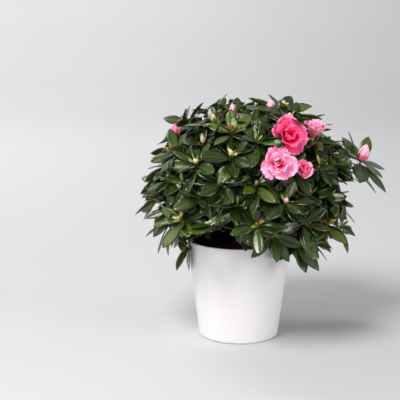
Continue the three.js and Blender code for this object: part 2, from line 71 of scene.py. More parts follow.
# %% Camera
CAMERA_PLACE = (0.0, -1.5, 0.49)
CAMERA_DOWN_DEG = 11.48
CAMERA_LEFT_DEG = 2.02
LENS_MM = 102.3
SENSOR_MM = 36

camera = bpy.data.objects.new("camera", bpy.data.cameras.new("camera"))
bpy.context.scene.collection.objects.link(camera)
camera.location = CAMERA_PLACE
camera.rotation_euler = (math.radians(90 - CAMERA_DOWN_DEG), 0, math.radians(CAMERA_LEFT_DEG))
camera.data.sensor_width = SENSOR_MM
camera.data.lens = LENS_MM
bpy.context.scene.camera = camera
print("camera", CAMERA_PLACE, "lens", LENS_MM)

# %% [markdown]
# ## Finishes as expressions
# Each finish is a small graph of nodes. Wiring them by hand hides the idea, so one class wraps a socket
# and lets sums be written as sums: `1 - mask * 0.5` adds the two Math nodes that it needs. Each operator
# has its reflected form too, so that the plain number may come first.


# %% A wrapped socket
class Wire:
    """The output of a node, on which sums are written as Python expressions."""

    def __init__(self, finish, socket):
        self.finish = finish
        self.socket = socket

    def __add__(self, other):
        return self.finish.sum("ADD", self, other)

    def __radd__(self, other):
        return self.finish.sum("ADD", other, self)

    def __sub__(self, other):
        return self.finish.sum("SUBTRACT", self, other)

    def __rsub__(self, other):
        return self.finish.sum("SUBTRACT", other, self)

    def __mul__(self, other):
        return self.finish.sum("MULTIPLY", self, other)

    def __rmul__(self, other):
        return self.finish.sum("MULTIPLY", other, self)


# %% [markdown]
# A finish is one Principled shader with what feeds it. Every node other than a sum comes from one method,
# which takes the node's type, its settings and its sockets. All noise is laid out in the object's own
# space, so it needs no unwrapped surface and has the same grain everywhere.


# %% A finish
class Finish:
    """A material, built round one Principled shader."""

    def __init__(self, name, **constants):
        self.material = bpy.data.materials.new(name)
        self.material.use_nodes = True
        self.shader = self.material.node_tree.nodes["Principled BSDF"]
        for socket, value in constants.items():
            self.put(self.shader.inputs[socket.replace("_", " ")], value)

    def put(self, socket, value):
        if isinstance(value, Wire):
            self.material.node_tree.links.new(value.socket, socket)
        elif isinstance(value, (tuple, list)) and len(value) == 3 and socket.type == "RGBA":
            socket.default_value = (*value, 1)
        else:
            socket.default_value = value

    def node(self, kind, settings=(), sockets=(), out=0):
        made = self.material.node_tree.nodes.new(kind)
        for name, value in dict(settings).items():
            setattr(made, name, value)
        for name, value in dict(sockets).items():
            self.put(made.inputs[name], value)
        return Wire(self, made.outputs[out])

    def sum(self, operation, first, second):
        return self.node("ShaderNodeMath", {"operation": operation}, {0: first, 1: second})

    def where(self, stretch=(1, 1, 1)):
        place = self.node("ShaderNodeTexCoord", out="Object")
        return self.node("ShaderNodeMapping", {}, {"Vector": place, "Scale": stretch})

    def clouds(self, scale, detail=3.0, roughness=0.55, stretch=(1, 1, 1)):
        sockets = {"Vector": self.where(stretch), "Scale": scale, "Detail": detail, "Roughness": roughness}
        return self.node("ShaderNodeTexNoise", {}, sockets)

    def blend(self, mask, first, second):
        """A mix of two colours, which sit on the node's sixth and seventh sockets."""
        settings = {"data_type": "RGBA", "clamp_factor": True}
        return self.node("ShaderNodeMix", settings, {"Factor": mask, 6: first, 7: second}, out=2)

    def bump(self, height, distance, strength=1.0):
        sockets = {"Height": height, "Distance": distance, "Strength": strength}
        return self.node("ShaderNodeBump", {}, sockets)

    def feed(self, **sockets):
        for name, value in sockets.items():
            self.put(self.shader.inputs[name.replace("_", " ")], value)
        return self.material


# %% [markdown]
# ## Shapes from arrays
# A shrub has thousands of leaves, and one Blender object for each would be slow. Instead, numpy works out
# the points of all blades at once, and each kind of thing becomes one mesh, with a material for each of
# its triangles.


# %% Pieces
def piece(name, points, triangles, materials, looks=None, smooth=True):
    """One mesh object, in metres. looks gives each triangle's place in the list of materials."""
    mesh = bpy.data.meshes.new(name)
    mesh.from_pydata(points.tolist(), [], triangles.tolist())
    for material in materials:
        mesh.materials.append(material)
    if looks is not None:
        mesh.polygons.foreach_set("material_index", looks.astype(np.int32))
    mesh.polygons.foreach_set("use_smooth", np.full(len(triangles), smooth))
    mesh.update()
    made = bpy.data.objects.new(name, mesh)
    bpy.context.scene.collection.objects.link(made)
    print(name, "triangles", len(triangles))
    return made


def joined(parts):
    """Joins (points, triangles, looks) into one."""
    offsets = np.cumsum([0] + [len(points) for points, _, _ in parts[:-1]])
    points = np.concatenate([points for points, _, _ in parts])
    triangles = np.concatenate([faces + offset for (_, faces, _), offset in zip(parts, offsets)])
    return points, triangles, np.concatenate([looks for _, _, looks in parts])


# %% [markdown]
# A blade is a closed shell: an upper sheet and a lower sheet that share their rim, so it is thin but never
# open. A flat sheet alone would have no thickness, and a solidified one would cost more triangles.


# %% Shells
def shell_faces(rows, columns):
    """The triangles of one shell, with the row, column and side that each lies on. Every triangle has a
    point inside the rim, so none of the upper sheet lies on one of the lower sheet."""
    top = np.arange(rows * columns).reshape(rows, columns)
    bottom = top.copy()
    inner = (rows - 2) * (columns - 2)
    bottom[1:-1, 1:-1] = rows * columns + np.arange(inner).reshape(rows - 2, columns - 2)
    triangles, where = [], []
    for r in range(rows - 1):
        for c in range(columns - 1):
            for side, grid in enumerate((top, bottom)):
                a, b, d, e = grid[r, c], grid[r + 1, c], grid[r + 1, c + 1], grid[r, c + 1]
                at_corner = (r, c) in ((0, columns - 2), (rows - 2, 0))
                pair = [(a, b, e), (b, d, e)] if at_corner else [(a, b, d), (a, d, e)]
                triangles += pair if side == 0 else [face[::-1] for face in pair]
                where += [(r, c, side)] * 2
    return np.array(triangles), np.array(where)


def shells(upper, lower):
    """Joins upper and lower sheets, of shape (count, rows, columns, 3), at their rims."""
    count, rows, columns, _ = upper.shape
    inner = lower[:, 1:-1, 1:-1].reshape(count, -1, 3)
    points = np.concatenate([upper.reshape(count, -1, 3), inner], axis=1)
    triangles, where = shell_faces(rows, columns)
    step = np.arange(count)[:, None, None] * points.shape[1]
    return points.reshape(-1, 3), (triangles[None] + step).reshape(-1, 3), where


# %% [markdown]
# Stems, twigs and fibres are tubes. A ring of points is carried along the path, and each ring takes its
# turn from the one before, so a bent tube never twists.


# %% Tubes
NO_PATH = (0.3, 0.5, 0.81)


def unit(v):
    return v / np.linalg.norm(v, axis=-1, keepdims=True)


def tube(path, radii, sides):
    """A closed round tube along a path. No path starts along NO_PATH, so it can turn the first ring."""
    path = np.asarray(path)
    along = unit(np.gradient(path, axis=0))
    across = unit(np.cross(along[0], NO_PATH))
    turns = np.arange(sides) * FULL_TURN / sides
    rings = []
    for point, way, radius in zip(path, along, radii):
        across = unit(across - way * (across @ way))
        beside = np.cross(way, across)
        rings.append(point + radius * (np.outer(np.cos(turns), across) + np.outer(np.sin(turns), beside)))
    points = np.concatenate([*rings, path[:1], path[-1:]])
    steps = len(path)
    first, last = steps * sides, steps * sides + 1
    triangles, where = [], []
    for i in range(sides):
        j = (i + 1) % sides
        for r in range(steps - 1):
            a, b, c, d = r * sides + i, r * sides + j, (r + 1) * sides + j, (r + 1) * sides + i
            triangles += [(a, b, c), (a, c, d)]
            where += [r, r]
        triangles += [(first, j, i), (last, (steps - 1) * sides + i, (steps - 1) * sides + j)]
        where += [0, steps - 2]
    return points, np.array(triangles), np.array(where)


# %% [markdown]
# ## How the shrub grows
# Each plant of this kind puts out one flush of shoots, and every shoot ends at the surface of the crown in
# a whorl of leaves. So the rule starts at the surface: the shoot tips are spread evenly over a dome,
# and each is led back to the nearest bough. The sizes and the seeds are those of the solid model.

# %% The crown's sizes, in millimetres
POT = {"height": 134, "rim": 70, "foot": 54, "wall": 3.5, "floor": 5, "round": 3, "lip": 1.2, "fillet": 2}
PEAT_DOWN = 8
PEAT_TOP = POT["height"] - PEAT_DOWN
TRUNK = {"height": 19, "lean": 2.5}
CROWN = {"centre": np.array([14.0, 0.0, 198.0]), "wide": 117, "rise": 104, "drop": 90, "square": 2.6}
GAP = 0.3
UP = np.array([0.0, 0.0, 1.0])
FRONT = np.array([0.0, -1.0, 0.0])
GOLDEN = math.radians(137.508)
print("peat at", PEAT_TOP, "crown", CROWN["wide"] * 2, "wide")

# %% [markdown]
# The dice are a plain sum on whole numbers, which gives the same row of numbers here and in the solid
# model. A point of the crown is given by its direction from the centre and its share of the way out.


# %% Dice, directions and curves
DICE = {"sides": 2 ** 32, "step": 1664525, "shift": 1013904223, "seed_step": 7919, "seed_shift": 104729}
FIRST_ROLLS = 5


def dice(seed):
    """Repeatable random numbers: the same seed always deals the same row."""
    state = (seed * DICE["seed_step"] + DICE["seed_shift"]) % DICE["sides"]

    def roll(low, high):
        nonlocal state
        state = (state * DICE["step"] + DICE["shift"]) % DICE["sides"]
        return low + (high - low) * state / DICE["sides"]

    for _ in range(FIRST_ROLLS):
        roll(0, 1)
    return roll


def whole(roll, low, high):
    """A whole number from low up to the one below high."""
    return int(roll(low, high - 0.01))


def lerp(a, b, t):
    return a + (b - a) * t


def direction(azimuth_deg, elevation_deg):
    azimuth, elevation = math.radians(azimuth_deg), math.radians(elevation_deg)
    level = math.cos(elevation)
    return np.array([math.cos(azimuth) * level, math.sin(azimuth) * level, math.sin(elevation)])


def reach_to(way):
    """How far the crown's squarish dome lies from its centre in this direction."""
    across = math.hypot(way[0], way[1]) / CROWN["wide"]
    along = abs(way[2]) / (CROWN["rise"] if way[2] > 0 else CROWN["drop"])
    return (across ** CROWN["square"] + along ** CROWN["square"]) ** (-1 / CROWN["square"])


def from_centre(way, share):
    return CROWN["centre"] + way * reach_to(way) * share


def curve(a, b, c):
    """A quadratic curve from a to c that leaves towards b."""
    return lambda t: (1 - t) ** 2 * a + 2 * t * (1 - t) * b + t * t * c


def angle(a, b):
    return math.acos(max(-1.0, min(1.0, float(unit(a) @ unit(b)))))


# %% [markdown]
# ## The masses and their boughs
# The crown is gathered into ten masses: one on top, four on the shoulders and five round the side. A
# bough runs from the trunk, or from a stouter bough, into each mass. The ends of boughs and stems and the
# hearts of the masses are given as shares of the way from the crown's centre to its surface.

# %% Masses and boughs
MASS_PLAN = [("top", 1, 0, 90), ("upper", 4, -75, 42), ("lower", 5, -36, -4)]
WAY_OUT = {"bough_end": 0.42, "heart": 0.64, "stem_end": 0.7}
BOUGH_OUTWARD = 0.3
UPPER = {"root": 3.7, "lift": 0.42, "fork": 0.42, "fork_step": 0.09, "top_fork": 0.9}
LOWER = {"root": 2.7, "lift": 0.12, "fork": 0.34, "fork_step": 0.2}

masses = []
for ring, count, first_deg, elevation_deg in MASS_PLAN:
    for i in range(count):
        azimuth_deg = first_deg + 360 / count * i
        way = direction(azimuth_deg, elevation_deg)
        name = f"{ring}_{i + 1}" if count > 1 else ring
        masses.append({
            "name": name, "ring": ring, "turn": azimuth_deg, "way": way,
            "heart": from_centre(way, WAY_OUT["heart"]), "shoots": [], "taken": 0,
        })


def trunk_point(share):
    return np.array([TRUNK["lean"] * share, 0, PEAT_TOP + GAP + TRUNK["height"] * share])


def bough_curve(start, mass, lift):
    end = from_centre(mass["way"], WAY_OUT["bough_end"])
    length = np.linalg.norm(end - start)
    outward = mass["way"] * (1, 1, 0)
    return curve(start, start + outward * length * BOUGH_OUTWARD + UP * length * lift, end)


def turn_between(mass, other):
    """The angle between two masses as seen from above, in degrees."""
    return abs((mass["turn"] - other["turn"] + 540) % 360 - 180)


for i, mass in enumerate(m for m in masses if m["ring"] != "lower"):
    fork = UPPER["fork"] + UPPER["fork_step"] * i if i else UPPER["top_fork"]
    mass["bough"] = bough_curve(trunk_point(fork), mass, UPPER["lift"])
    mass["root"] = UPPER["root"]
for mass in (m for m in masses if m["ring"] == "lower"):
    uppers = [m for m in masses if m["ring"] == "upper"]
    carrier = min(uppers, key=lambda m: turn_between(mass, m))
    fork = LOWER["fork"] + LOWER["fork_step"] * carrier["taken"]
    mass["bough"] = bough_curve(carrier["bough"](fork), mass, LOWER["lift"])
    mass["root"] = LOWER["root"]
    carrier["taken"] += 1
print("masses", [m["name"] for m in masses])

# %% [markdown]
# ## The shoots
# The tips spread over the dome by the golden angle. The flowers, the coloured buds and a few leafy sprays
# come first, where the photo shows them, and some more flowers and buds on the hidden side. Each is a
# kind, an azimuth and an elevation in degrees, a size in millimetres, a reach as a share of the way to the
# crown's surface, a lift that turns its tip upwards, and a tint. A bud's tint is its number in BIG_BUDS.

# %% Shoots with a place of their own
ACCENTS = [
    ("bloom", -61, 44, 26, 0.98, -0.4, -0.5), ("bloom", -73, 26, 24, 0.98, -0.15, 0.7),
    ("half", -57, 23, 18, 0.93, -0.1, 0), ("half", -30, 40, 22, 0.98, 2.2, 0.2),
    ("bud", -2, 16, 24, 1.29, 1.6, 0), ("bud", -140, 74, 14, 1.03, 0.5, 1),
    ("bud", -38, 74, 16, 1.06, 0.5, 2),
    ("bloom", 62, 40, 24, 0.98, -0.2, 0.3), ("bloom", 148, 30, 22, 0.98, -0.1, 0.7),
    ("half", 108, 20, 18, 0.98, 0.2, 0.4), ("bud", 190, 38, 16, 1.02, 0.5, 3),
    ("leaves", -74, -18, 0, 0.95, 0.55, 0), ("leaves", -6, -20, 0, 1.1, 0.6, 0),
    ("leaves", -32, -31, 0, 0.98, 0.5, 0), ("leaves", -160, -37, 0, 0.98, 0.5, 0),
    ("leaves", -161, -20, 0, 1.02, 0.5, 0), ("leaves", -103, 31, 0, 1.0, 0.55, 0),
    ("leaves", -25, 68, 0, 1.11, 0.7, 0), ("leaves", 160, 79, 0, 0.94, 0.8, 0),
]
SHOOTS = 92
PLAIN_REACH = (0.89, 1.088)
PLAIN_LIFT = (0.5, 1.3)
LOWEST = math.sin(math.radians(-31))

shoots = []
for i in range(SHOOTS):
    height = 1 - (i + 0.5) / SHOOTS * (1 - LOWEST)
    roll = dice(i + 1)
    shoots.append({
        "kind": "plain", "way": direction(math.degrees(i * GOLDEN), math.degrees(math.asin(height))),
        "roll": roll, "reach": roll(*PLAIN_REACH), "lift": roll(*PLAIN_LIFT),
    })
for kind, azimuth_deg, elevation_deg, size, reach, lift, tint in ACCENTS:
    way = direction(azimuth_deg, elevation_deg)
    free = [s for s in shoots if s["kind"] == "plain"]
    nearest = min(free, key=lambda s: angle(s["way"], way))
    nearest.update(kind=kind, way=way, size=size, reach=reach, lift=lift, tint=tint)
plain = [s for s in shoots if s["kind"] == "plain"]
print("shoots", len(shoots), "of them plain", len(plain))

# %% [markdown]
# The plain shoots then move apart until they stand evenly between the others, and keep out of the few
# directions in which the crown is open. Every shoot turns upwards at its tip. The long one that stands out
# on the right also turns to the front, and its leaves are the longest.

# %% Evenly spread shoots
OPENINGS = [
    (-100, -24), (-122, -25), (-138, -28), (-112, -34), (-86, -33), (-62, -40), (-30, -62), (15, -60),
    (60, -60), (105, -60), (150, -60), (-165, -62), (-120, -62), (-75, -64),
]
SPREAD = {"rounds": 40, "push": 0.0004, "nearest": 0.1}
LONG_SHOOT = {"reach": 1.2, "front": 0.9, "leaf_share": 1.25, "droop_deg": 15, "first_turn": -0.98}

openings = np.array([direction(*opening) for opening in OPENINGS])
for _ in range(SPREAD["rounds"]):
    for shoot in plain:
        others = np.array([s["way"] for s in shoots if s is not shoot])
        away = shoot["way"] - np.concatenate([others, openings])
        strength = np.maximum(np.linalg.norm(away, axis=1), SPREAD["nearest"]) ** -4
        way = unit(shoot["way"] + SPREAD["push"] * (away * strength[:, None]).sum(axis=0))
        way[2] = max(way[2], LOWEST)
        shoot["way"] = unit(way)
for shoot in shoots:
    shoot["tip"] = from_centre(shoot["way"], shoot["reach"])
    shoot["long"] = shoot["reach"] > LONG_SHOOT["reach"]
    forward = LONG_SHOOT["front"] if shoot["long"] else 0
    shoot["axis"] = unit(shoot["way"] + UP * shoot["lift"] + FRONT * forward)
    mass = min(masses, key=lambda m: np.linalg.norm(m["heart"] - shoot["tip"]))
    mass["shoots"].append(shoot)
print("shoots of each mass", [len(m["shoots"]) for m in masses])

# %% [markdown]
# ## Stems and twigs
# In each mass one stem goes on from the bough's tip, and the twigs leave it in turn, the outermost first.
# The solid model stops at one twig for each whorl. Here most twigs also put out up to three shorter side
# shoots, which end a little deeper in the crown and fill it, as they do on the plant. The lower right of
# the crown is thin in the photo, so there the twigs stay single.

# %% Stems, twigs and side shoots
TWIG_FEET = (0.25, 0.96)
NEAR_END = 0.97
STEM_BOW = 0.5
TWIG_BOW = 0.35
THIN = {"from_deg": -48, "to_deg": 22, "below": 0.3}
SIDE = {"count": 3, "turn_deg": 16, "reach": (0.7, 0.86), "lift": (0.5, 1.2), "foot": (0.45, 0.65)}
NO_SHOOT = (0.2, 0.1, 0.97)


def thin(way):
    azimuth_deg = math.degrees(math.atan2(way[1], way[0]))
    return THIN["from_deg"] < azimuth_deg < THIN["to_deg"] and way[2] < THIN["below"]


def twig_curve(foot, tip, axis):
    """A twig that leaves its foot freely and comes in along the axis of its tip."""
    bow = np.linalg.norm(tip - foot) * TWIG_BOW
    return curve(foot, tip - axis * bow, tip)


def side_shoots(shoot):
    """Shorter shoots round a twig. Any that would end too low is left out."""
    roll = shoot["roll"]
    level = unit(np.cross(shoot["way"], NO_SHOOT))
    upright = np.cross(shoot["way"], level)
    turn = None
    made = []
    for _ in range(SIDE["count"]):
        turn = roll(0, FULL_TURN) if turn is None else turn + FULL_TURN / SIDE["count"] + roll(-0.4, 0.4)
        aside = math.cos(turn) * level + math.sin(turn) * upright
        way = unit(shoot["way"] + aside * math.tan(math.radians(SIDE["turn_deg"])))
        if way[2] < LOWEST:
            continue
        tip = from_centre(way, shoot["reach"] * roll(*SIDE["reach"]))
        axis = unit(way + UP * roll(*SIDE["lift"]))
        foot = shoot["curve"](roll(*SIDE["foot"]))
        made.append({
            "kind": "side", "tip": tip, "axis": axis, "way": way, "roll": roll, "main": False, "long": False,
            "curve": twig_curve(foot, tip, axis), "mass": shoot["mass"],
        })
    return made


twigs = []
for mass in masses:
    way = unit(mass["bough"](1) - mass["bough"](NEAR_END))
    start = mass["bough"](1) + way * GAP
    end = from_centre(mass["way"], WAY_OUT["stem_end"])
    mass["stem"] = curve(start, start + way * np.linalg.norm(end - start) * STEM_BOW, end)
    mass["shoots"].sort(key=lambda s: -angle(s["way"], mass["way"]))
    for i, shoot in enumerate(mass["shoots"]):
        foot = mass["stem"](lerp(*TWIG_FEET, i / max(len(mass["shoots"]) - 1, 1)))
        shoot.update(curve=twig_curve(foot, shoot["tip"], shoot["axis"]), mass=mass, main=True)
        twigs.append(shoot)
        if shoot["kind"] != "plain" or not thin(shoot["way"]):
            twigs += side_shoots(shoot)
print("twigs", len(twigs))

# %% [markdown]
# ## Room for a leaf
# A leaf may not cut through a bough, nor through the pot or down into it. Each bough is a row of points
# with a radius, and a leaf's middle line is felt for at three places. At the front left the crown leaves a
# window over the rim, through which the peat and the stems show, and no leaf hangs into it.

# %% Room
BOUGH_STEPS = np.linspace(0, 1, 25)
BOUGH_TIP = 1.8
CLEAR_OF_BOUGH = 1.5
CLEAR_OF_POT = 1.2
WINDOW = {"left": -70, "right": 0, "front": -30, "sill": 133, "slope": 0.2325}
FEELERS = (0.4, 0.7, 1)

bough_points = np.array([m["bough"](t) for m in masses for t in BOUGH_STEPS])
bough_radii = np.array([lerp(m["root"], BOUGH_TIP, t) for m in masses for t in BOUGH_STEPS])


def in_window(p):
    inside = WINDOW["left"] < p[0] < WINDOW["right"] and p[1] < WINDOW["front"]
    return inside and p[2] < WINDOW["sill"] - WINDOW["slope"] * p[1]


def in_pot(p):
    wall = lerp(POT["foot"], POT["rim"], (p[2] - POT["round"]) / (POT["height"] - POT["round"]))
    return p[2] < POT["height"] + CLEAR_OF_POT and math.hypot(p[0], p[1]) < wall + CLEAR_OF_POT


def in_bough(p):
    return (np.linalg.norm(bough_points - p, axis=1) < bough_radii + CLEAR_OF_BOUGH).any()


def has_room(points):
    return not any(in_window(p) or in_pot(p) or in_bough(p) for p in points)


# %% [markdown]
# ## Leaves
# An azalea leaf is a pointed oval, narrow at its short stalk and broadest just past its middle. It is
# folded a little along a sunken midrib and sags towards its tip. Each blade is a sheet of eight rows and
# six columns. The rows are pairs of a place along the leaf and a share of its full width.

# %% Leaf blades
LEAF_ROWS = [
    (0, 0.08), (0.07, 0.12), (0.2, 0.5), (0.37, 0.86), (0.54, 1), (0.72, 0.85), (0.88, 0.48), (1, 0.03),
]
LEAF = {"sag": 0.14, "fold": 0.16, "curl": 0.012, "crease": 0.25, "rib": 0.4, "rib_share": 0.4, "thick": 0.35}


def blade(foot, along, face, length, width, tone, twist):
    side = np.cross(face, along)
    side = side * math.cos(twist) + face * math.sin(twist)
    return {
        "foot": foot, "along": along, "side": side, "face": np.cross(along, side), "length": length,
        "width": width, "tone": tone,
    }


def leaf_sheets(blades):
    """The upper and lower sheets of all blades, in millimetres."""
    def column(key):
        return np.array([b[key] for b in blades])

    foot, along, side, face = (column(k)[:, None, None, :] for k in ("foot", "along", "side", "face"))
    length, width = (column(k)[:, None, None, None] for k in ("length", "width"))
    rows = np.array(LEAF_ROWS)
    s = rows[:, 0][None, :, None, None]
    share = rows[:, 1][None, :, None, None]
    half = share * width / 2
    rib = np.minimum(LEAF["rib"], half * LEAF["rib_share"])
    aside = np.concatenate([-half, (-half - rib) / 2, -rib, rib, (half + rib) / 2, half], axis=2)
    lift = LEAF["fold"] * np.abs(aside) - LEAF["curl"] * aside ** 2 - LEAF["sag"] * length * s * s
    sunken = np.array([0, 0, -LEAF["crease"], -LEAF["crease"], 0, 0])[None, None, :, None]
    lift = lift + sunken * np.minimum(share * 2, 1)
    upper = foot + along * length * s + side * aside + face * lift
    return upper, upper - face * LEAF["thick"]


# %% [markdown]
# A leaf stands at some turn round its twig and is tilted away from it. Where it has no room, it is tried a
# little lower, higher or shorter, and left out if none of these helps.

# %% A leaf in its place
LEAF_SPIN = 0.75
TRIES = [(0, 1), (-9, 1), (14, 1), (28, 1), (0, 0.75), (30, 0.7)]


def whorl_axes(axis):
    level = unit(np.cross((1.0, 0, 0) if abs(axis[2]) > 0.95 else UP, axis))
    return level, np.cross(axis, level)


def leaf_at(centre, axis, turn, tilt_deg, length, width, tone, roll, rise=0.0, hub=1.0, spin=LEAF_SPIN):
    """The blade at this turn round the axis, tilted from it, with its foot raised and off the middle."""
    u, v = whorl_axes(axis)
    radial = math.cos(turn) * u + math.sin(turn) * v
    twist = roll(-spin, spin)
    for raise_deg, share in TRIES:
        tilt = math.radians(tilt_deg - raise_deg)
        along = radial * math.sin(tilt) + axis * math.cos(tilt)
        face = axis * math.sin(tilt) - radial * math.cos(tilt)
        foot = centre + axis * rise + radial * hub
        sag = LEAF["sag"] * length * share
        if has_room([foot + along * length * share * t - face * sag * t * t for t in FEELERS]):
            return blade(foot, along, face, length * share, width * math.sqrt(share), tone, twist)
    return None


# %% [markdown]
# At each shoot's tip stand six or eight leaves in a whorl, the outer ones flat and the inner ones steeper
# and smaller, with a tuft of yellow-green young leaves in the middle. A few older leaves stand further
# down the twig. The leaves round a coloured bud droop, so that the bud stands clear.

# %% Whorls of leaves
LEAF_LENGTH = 43
LEAF_WIDTH = 19
LENGTH_SHARE = {"plain": 1.0, "leaves": 1.0, "bud": 1.12, "half": 0.95, "bloom": 1.0, "side": 0.87}
TONE_SHARES = [("deep", 0.45), ("mid", 0.8), ("olive", 0.97), ("bronze", 1)]
FLOWERING = ("bloom", "half")
WHORL = {
    "count": 8, "few": 6, "outer_deg": 84, "inner_deg": 48, "round_flower_deg": 72, "ease": 1.2,
    "outer_share": 1.03, "inner_share": 0.74, "outer_rise": -4.5, "inner_rise": 0.5, "same_tone": 0.7,
}
BESIDE_BUD = {"droop_deg": 30, "spin": 0.25}
TUFT = {"count": (1, 5), "length": (8, 17), "tilt_deg": (14, 38), "width_share": 0.3}
OLDER = {"main": 4, "side": 2, "thin": 1, "places": (0.6, 0.88), "ahead": 0.02, "tilt_deg": (58, 82)}


def tone_of(roll):
    cast = roll(0, 1)
    return next(tone for tone, share in TONE_SHARES if cast < share)


def whorl(twig, size, first):
    """The open leaves at the tip, from the outermost inwards."""
    roll, beside_bud = twig["roll"], twig["kind"] == "bud"
    flowering = twig["kind"] in FLOWERING
    count = WHORL["few"] if flowering or not twig["main"] else WHORL["count"]
    inner_deg = WHORL["round_flower_deg"] if flowering else WHORL["inner_deg"]
    bud_droop_deg = LONG_SHOOT["droop_deg"] if twig["long"] else BESIDE_BUD["droop_deg"]
    spin = BESIDE_BUD["spin"] if beside_bud else LEAF_SPIN
    tone = tone_of(roll)
    blades = []
    for k in range(count):
        inner = k / (count - 1)
        tilt_deg = lerp(WHORL["outer_deg"], inner_deg, inner ** WHORL["ease"]) + roll(-13, 13)
        tilt_deg += bud_droop_deg if beside_bud else 0
        length = size * lerp(WHORL["outer_share"], WHORL["inner_share"], inner) * roll(0.86, 1.1)
        width = LEAF_WIDTH * length / LEAF_LENGTH * roll(0.88, 1.14)
        own = tone if roll(0, 1) < WHORL["same_tone"] else tone_of(roll)
        rise = lerp(WHORL["outer_rise"], WHORL["inner_rise"], inner)
        turn = first + k * GOLDEN + roll(-0.3, 0.3)
        place = (twig["tip"], twig["axis"], turn, tilt_deg)
        blades.append(leaf_at(*place, length, width, own, roll, rise, spin=spin))
    return blades


def young_tuft(twig, first):
    """Small steep leaves in the middle of a whorl."""
    roll = twig["roll"]
    blades = []
    for k in range(whole(roll, *TUFT["count"])):
        length = roll(*TUFT["length"])
        place = (twig["tip"], twig["axis"], first + k * GOLDEN, roll(*TUFT["tilt_deg"]))
        width = length * TUFT["width_share"]
        blades.append(leaf_at(*place, length, width, "young", roll, rise=1, hub=0.6))
    return blades


def older_leaves(twig, size, first):
    """Single leaves along the outer half of a twig."""
    roll, path = twig["roll"], twig["curve"]
    count = OLDER["main"] if twig["main"] else OLDER["side"]
    if twig["kind"] == "plain" and thin(twig["way"]):
        count = OLDER["thin"]
    blades = []
    for k in range(count):
        t = lerp(*OLDER["places"], k / (OLDER["main"] - 1)) + roll(-0.04, 0.04)
        onward = unit(path(t + OLDER["ahead"]) - path(t))
        length = size * roll(0.7, 0.95)
        width = LEAF_WIDTH * length / LEAF_LENGTH * roll(0.9, 1.15)
        place = (path(t), onward, first + (k + 0.5) * GOLDEN, roll(*OLDER["tilt_deg"]))
        blades.append(leaf_at(*place, length, width, tone_of(roll), roll))
    return blades


def leaves_of(twig):
    """All leaves of one twig that have room."""
    size = LEAF_LENGTH * (LONG_SHOOT["leaf_share"] if twig["long"] else LENGTH_SHARE[twig["kind"]])
    first = twig["roll"](0, FULL_TURN)
    if twig["long"]:
        first = LONG_SHOOT["first_turn"]
    blades = whorl(twig, size, first)
    if twig["kind"] not in FLOWERING:
        blades += young_tuft(twig, first)
    blades += older_leaves(twig, size, first)
    return [b for b in blades if b is not None]


for mass in masses:
    mass["blades"] = [b for twig in twigs if twig["mass"] is mass for b in leaves_of(twig)]
print("leaves on twigs", sum(len(m["blades"]) for m in masses))

# %% [markdown]
# Old leaves hang from the boughs and stems of the lower masses, in the shade of the crown. Half of them
# stand on the outer part of the bough and half along the stem.

# %% Old leaves
HANGING = {"count": 14, "seed": 700, "from": 0.45, "off_wood": 2.5, "width_share": 0.45}

for i, mass in enumerate(m for m in masses if m["ring"] == "lower"):
    roll = dice(HANGING["seed"] + i)
    for k in range(HANGING["count"]):
        turn = k * GOLDEN + roll(-0.5, 0.5)
        side = np.array([math.cos(turn), math.sin(turn), 0])
        slope = roll(0.4, 1.1)
        length = LEAF_LENGTH * roll(0.7, 1)
        along, face = unit(side * slope - UP), unit(side + UP * slope)
        share = k / HANGING["count"]
        foot = mass["bough"](share + HANGING["from"]) if share < 0.5 else mass["stem"](share * 2 - 1)
        foot = foot + side * HANGING["off_wood"]
        if has_room([foot + along * length * t for t in FEELERS]):
            width = length * HANGING["width_share"]
            mass["blades"].append(blade(foot, along, face, length, width, "deep", roll(-0.6, 0.6)))
print("leaves", sum(len(m["blades"]) for m in masses))

# %% [markdown]
# ## The leaves' finish
# The upper side is a deep green with a waxy coat, and the underside is paler and matt. Old, new and shaded
# leaves differ, so each whorl is dealt one of several greens. White surroundings would lay a bluish veil
# on so dark a leaf, so the gloss under the coat is tinted yellow, and only the coat's highlights are
# white. A fine quilting between the side veins breaks them up.

# %% Leaf finishes
QUILTING = 0.0010
LEAF_COLOURS = {
    "deep": ((0.007, 0.015, 0.0012), (0.018, 0.034, 0.0025), 0.30),
    "mid": ((0.012, 0.032, 0.002), (0.027, 0.062, 0.004), 0.32),
    "olive": ((0.034, 0.057, 0.004), (0.066, 0.102, 0.007), 0.34),
    "bronze": ((0.036, 0.026, 0.007), (0.058, 0.052, 0.010), 0.36),
    "young": ((0.170, 0.240, 0.020), (0.320, 0.400, 0.045), 0.42),
    "underside": ((0.050, 0.078, 0.018), (0.085, 0.120, 0.031), 0.60),
    "midrib": ((0.035, 0.060, 0.008), (0.060, 0.095, 0.014), 0.40),
}


def leaf_finish(name, dark, light, roughness):
    gloss = {"Specular_IOR_Level": 0.4, "Specular_Tint": (1.0, 0.96, 0.6)}
    finish = Finish(f"leaf_{name}", **gloss, Coat_Weight=0.8, Coat_Roughness=0.24)
    patches = finish.clouds(55, 2)
    fine = finish.clouds(420, 2)
    return finish.feed(
        Base_Color=finish.blend(patches, dark, light),
        Roughness=roughness - 0.06 + fine * 0.12,
        Normal=finish.bump(finish.clouds(190, 3), QUILTING, 0.8),
    )


LEAF_FINISHES = [leaf_finish(name, *look) for name, look in LEAF_COLOURS.items()]
LEAF_LOOK = {name: i for i, name in enumerate(LEAF_COLOURS)}
print("leaf finishes", list(LEAF_COLOURS))

# %% [markdown]
# Each mass gets one mesh of leaves. The middle strip of a blade takes the midrib's finish nearly to the
# tip, and the lower sheet takes the underside's. Young leaves are too small for either, and stay as they
# are.

# %% Leaf meshes
RIB_COLUMN = 2
RIB_ROWS = 6

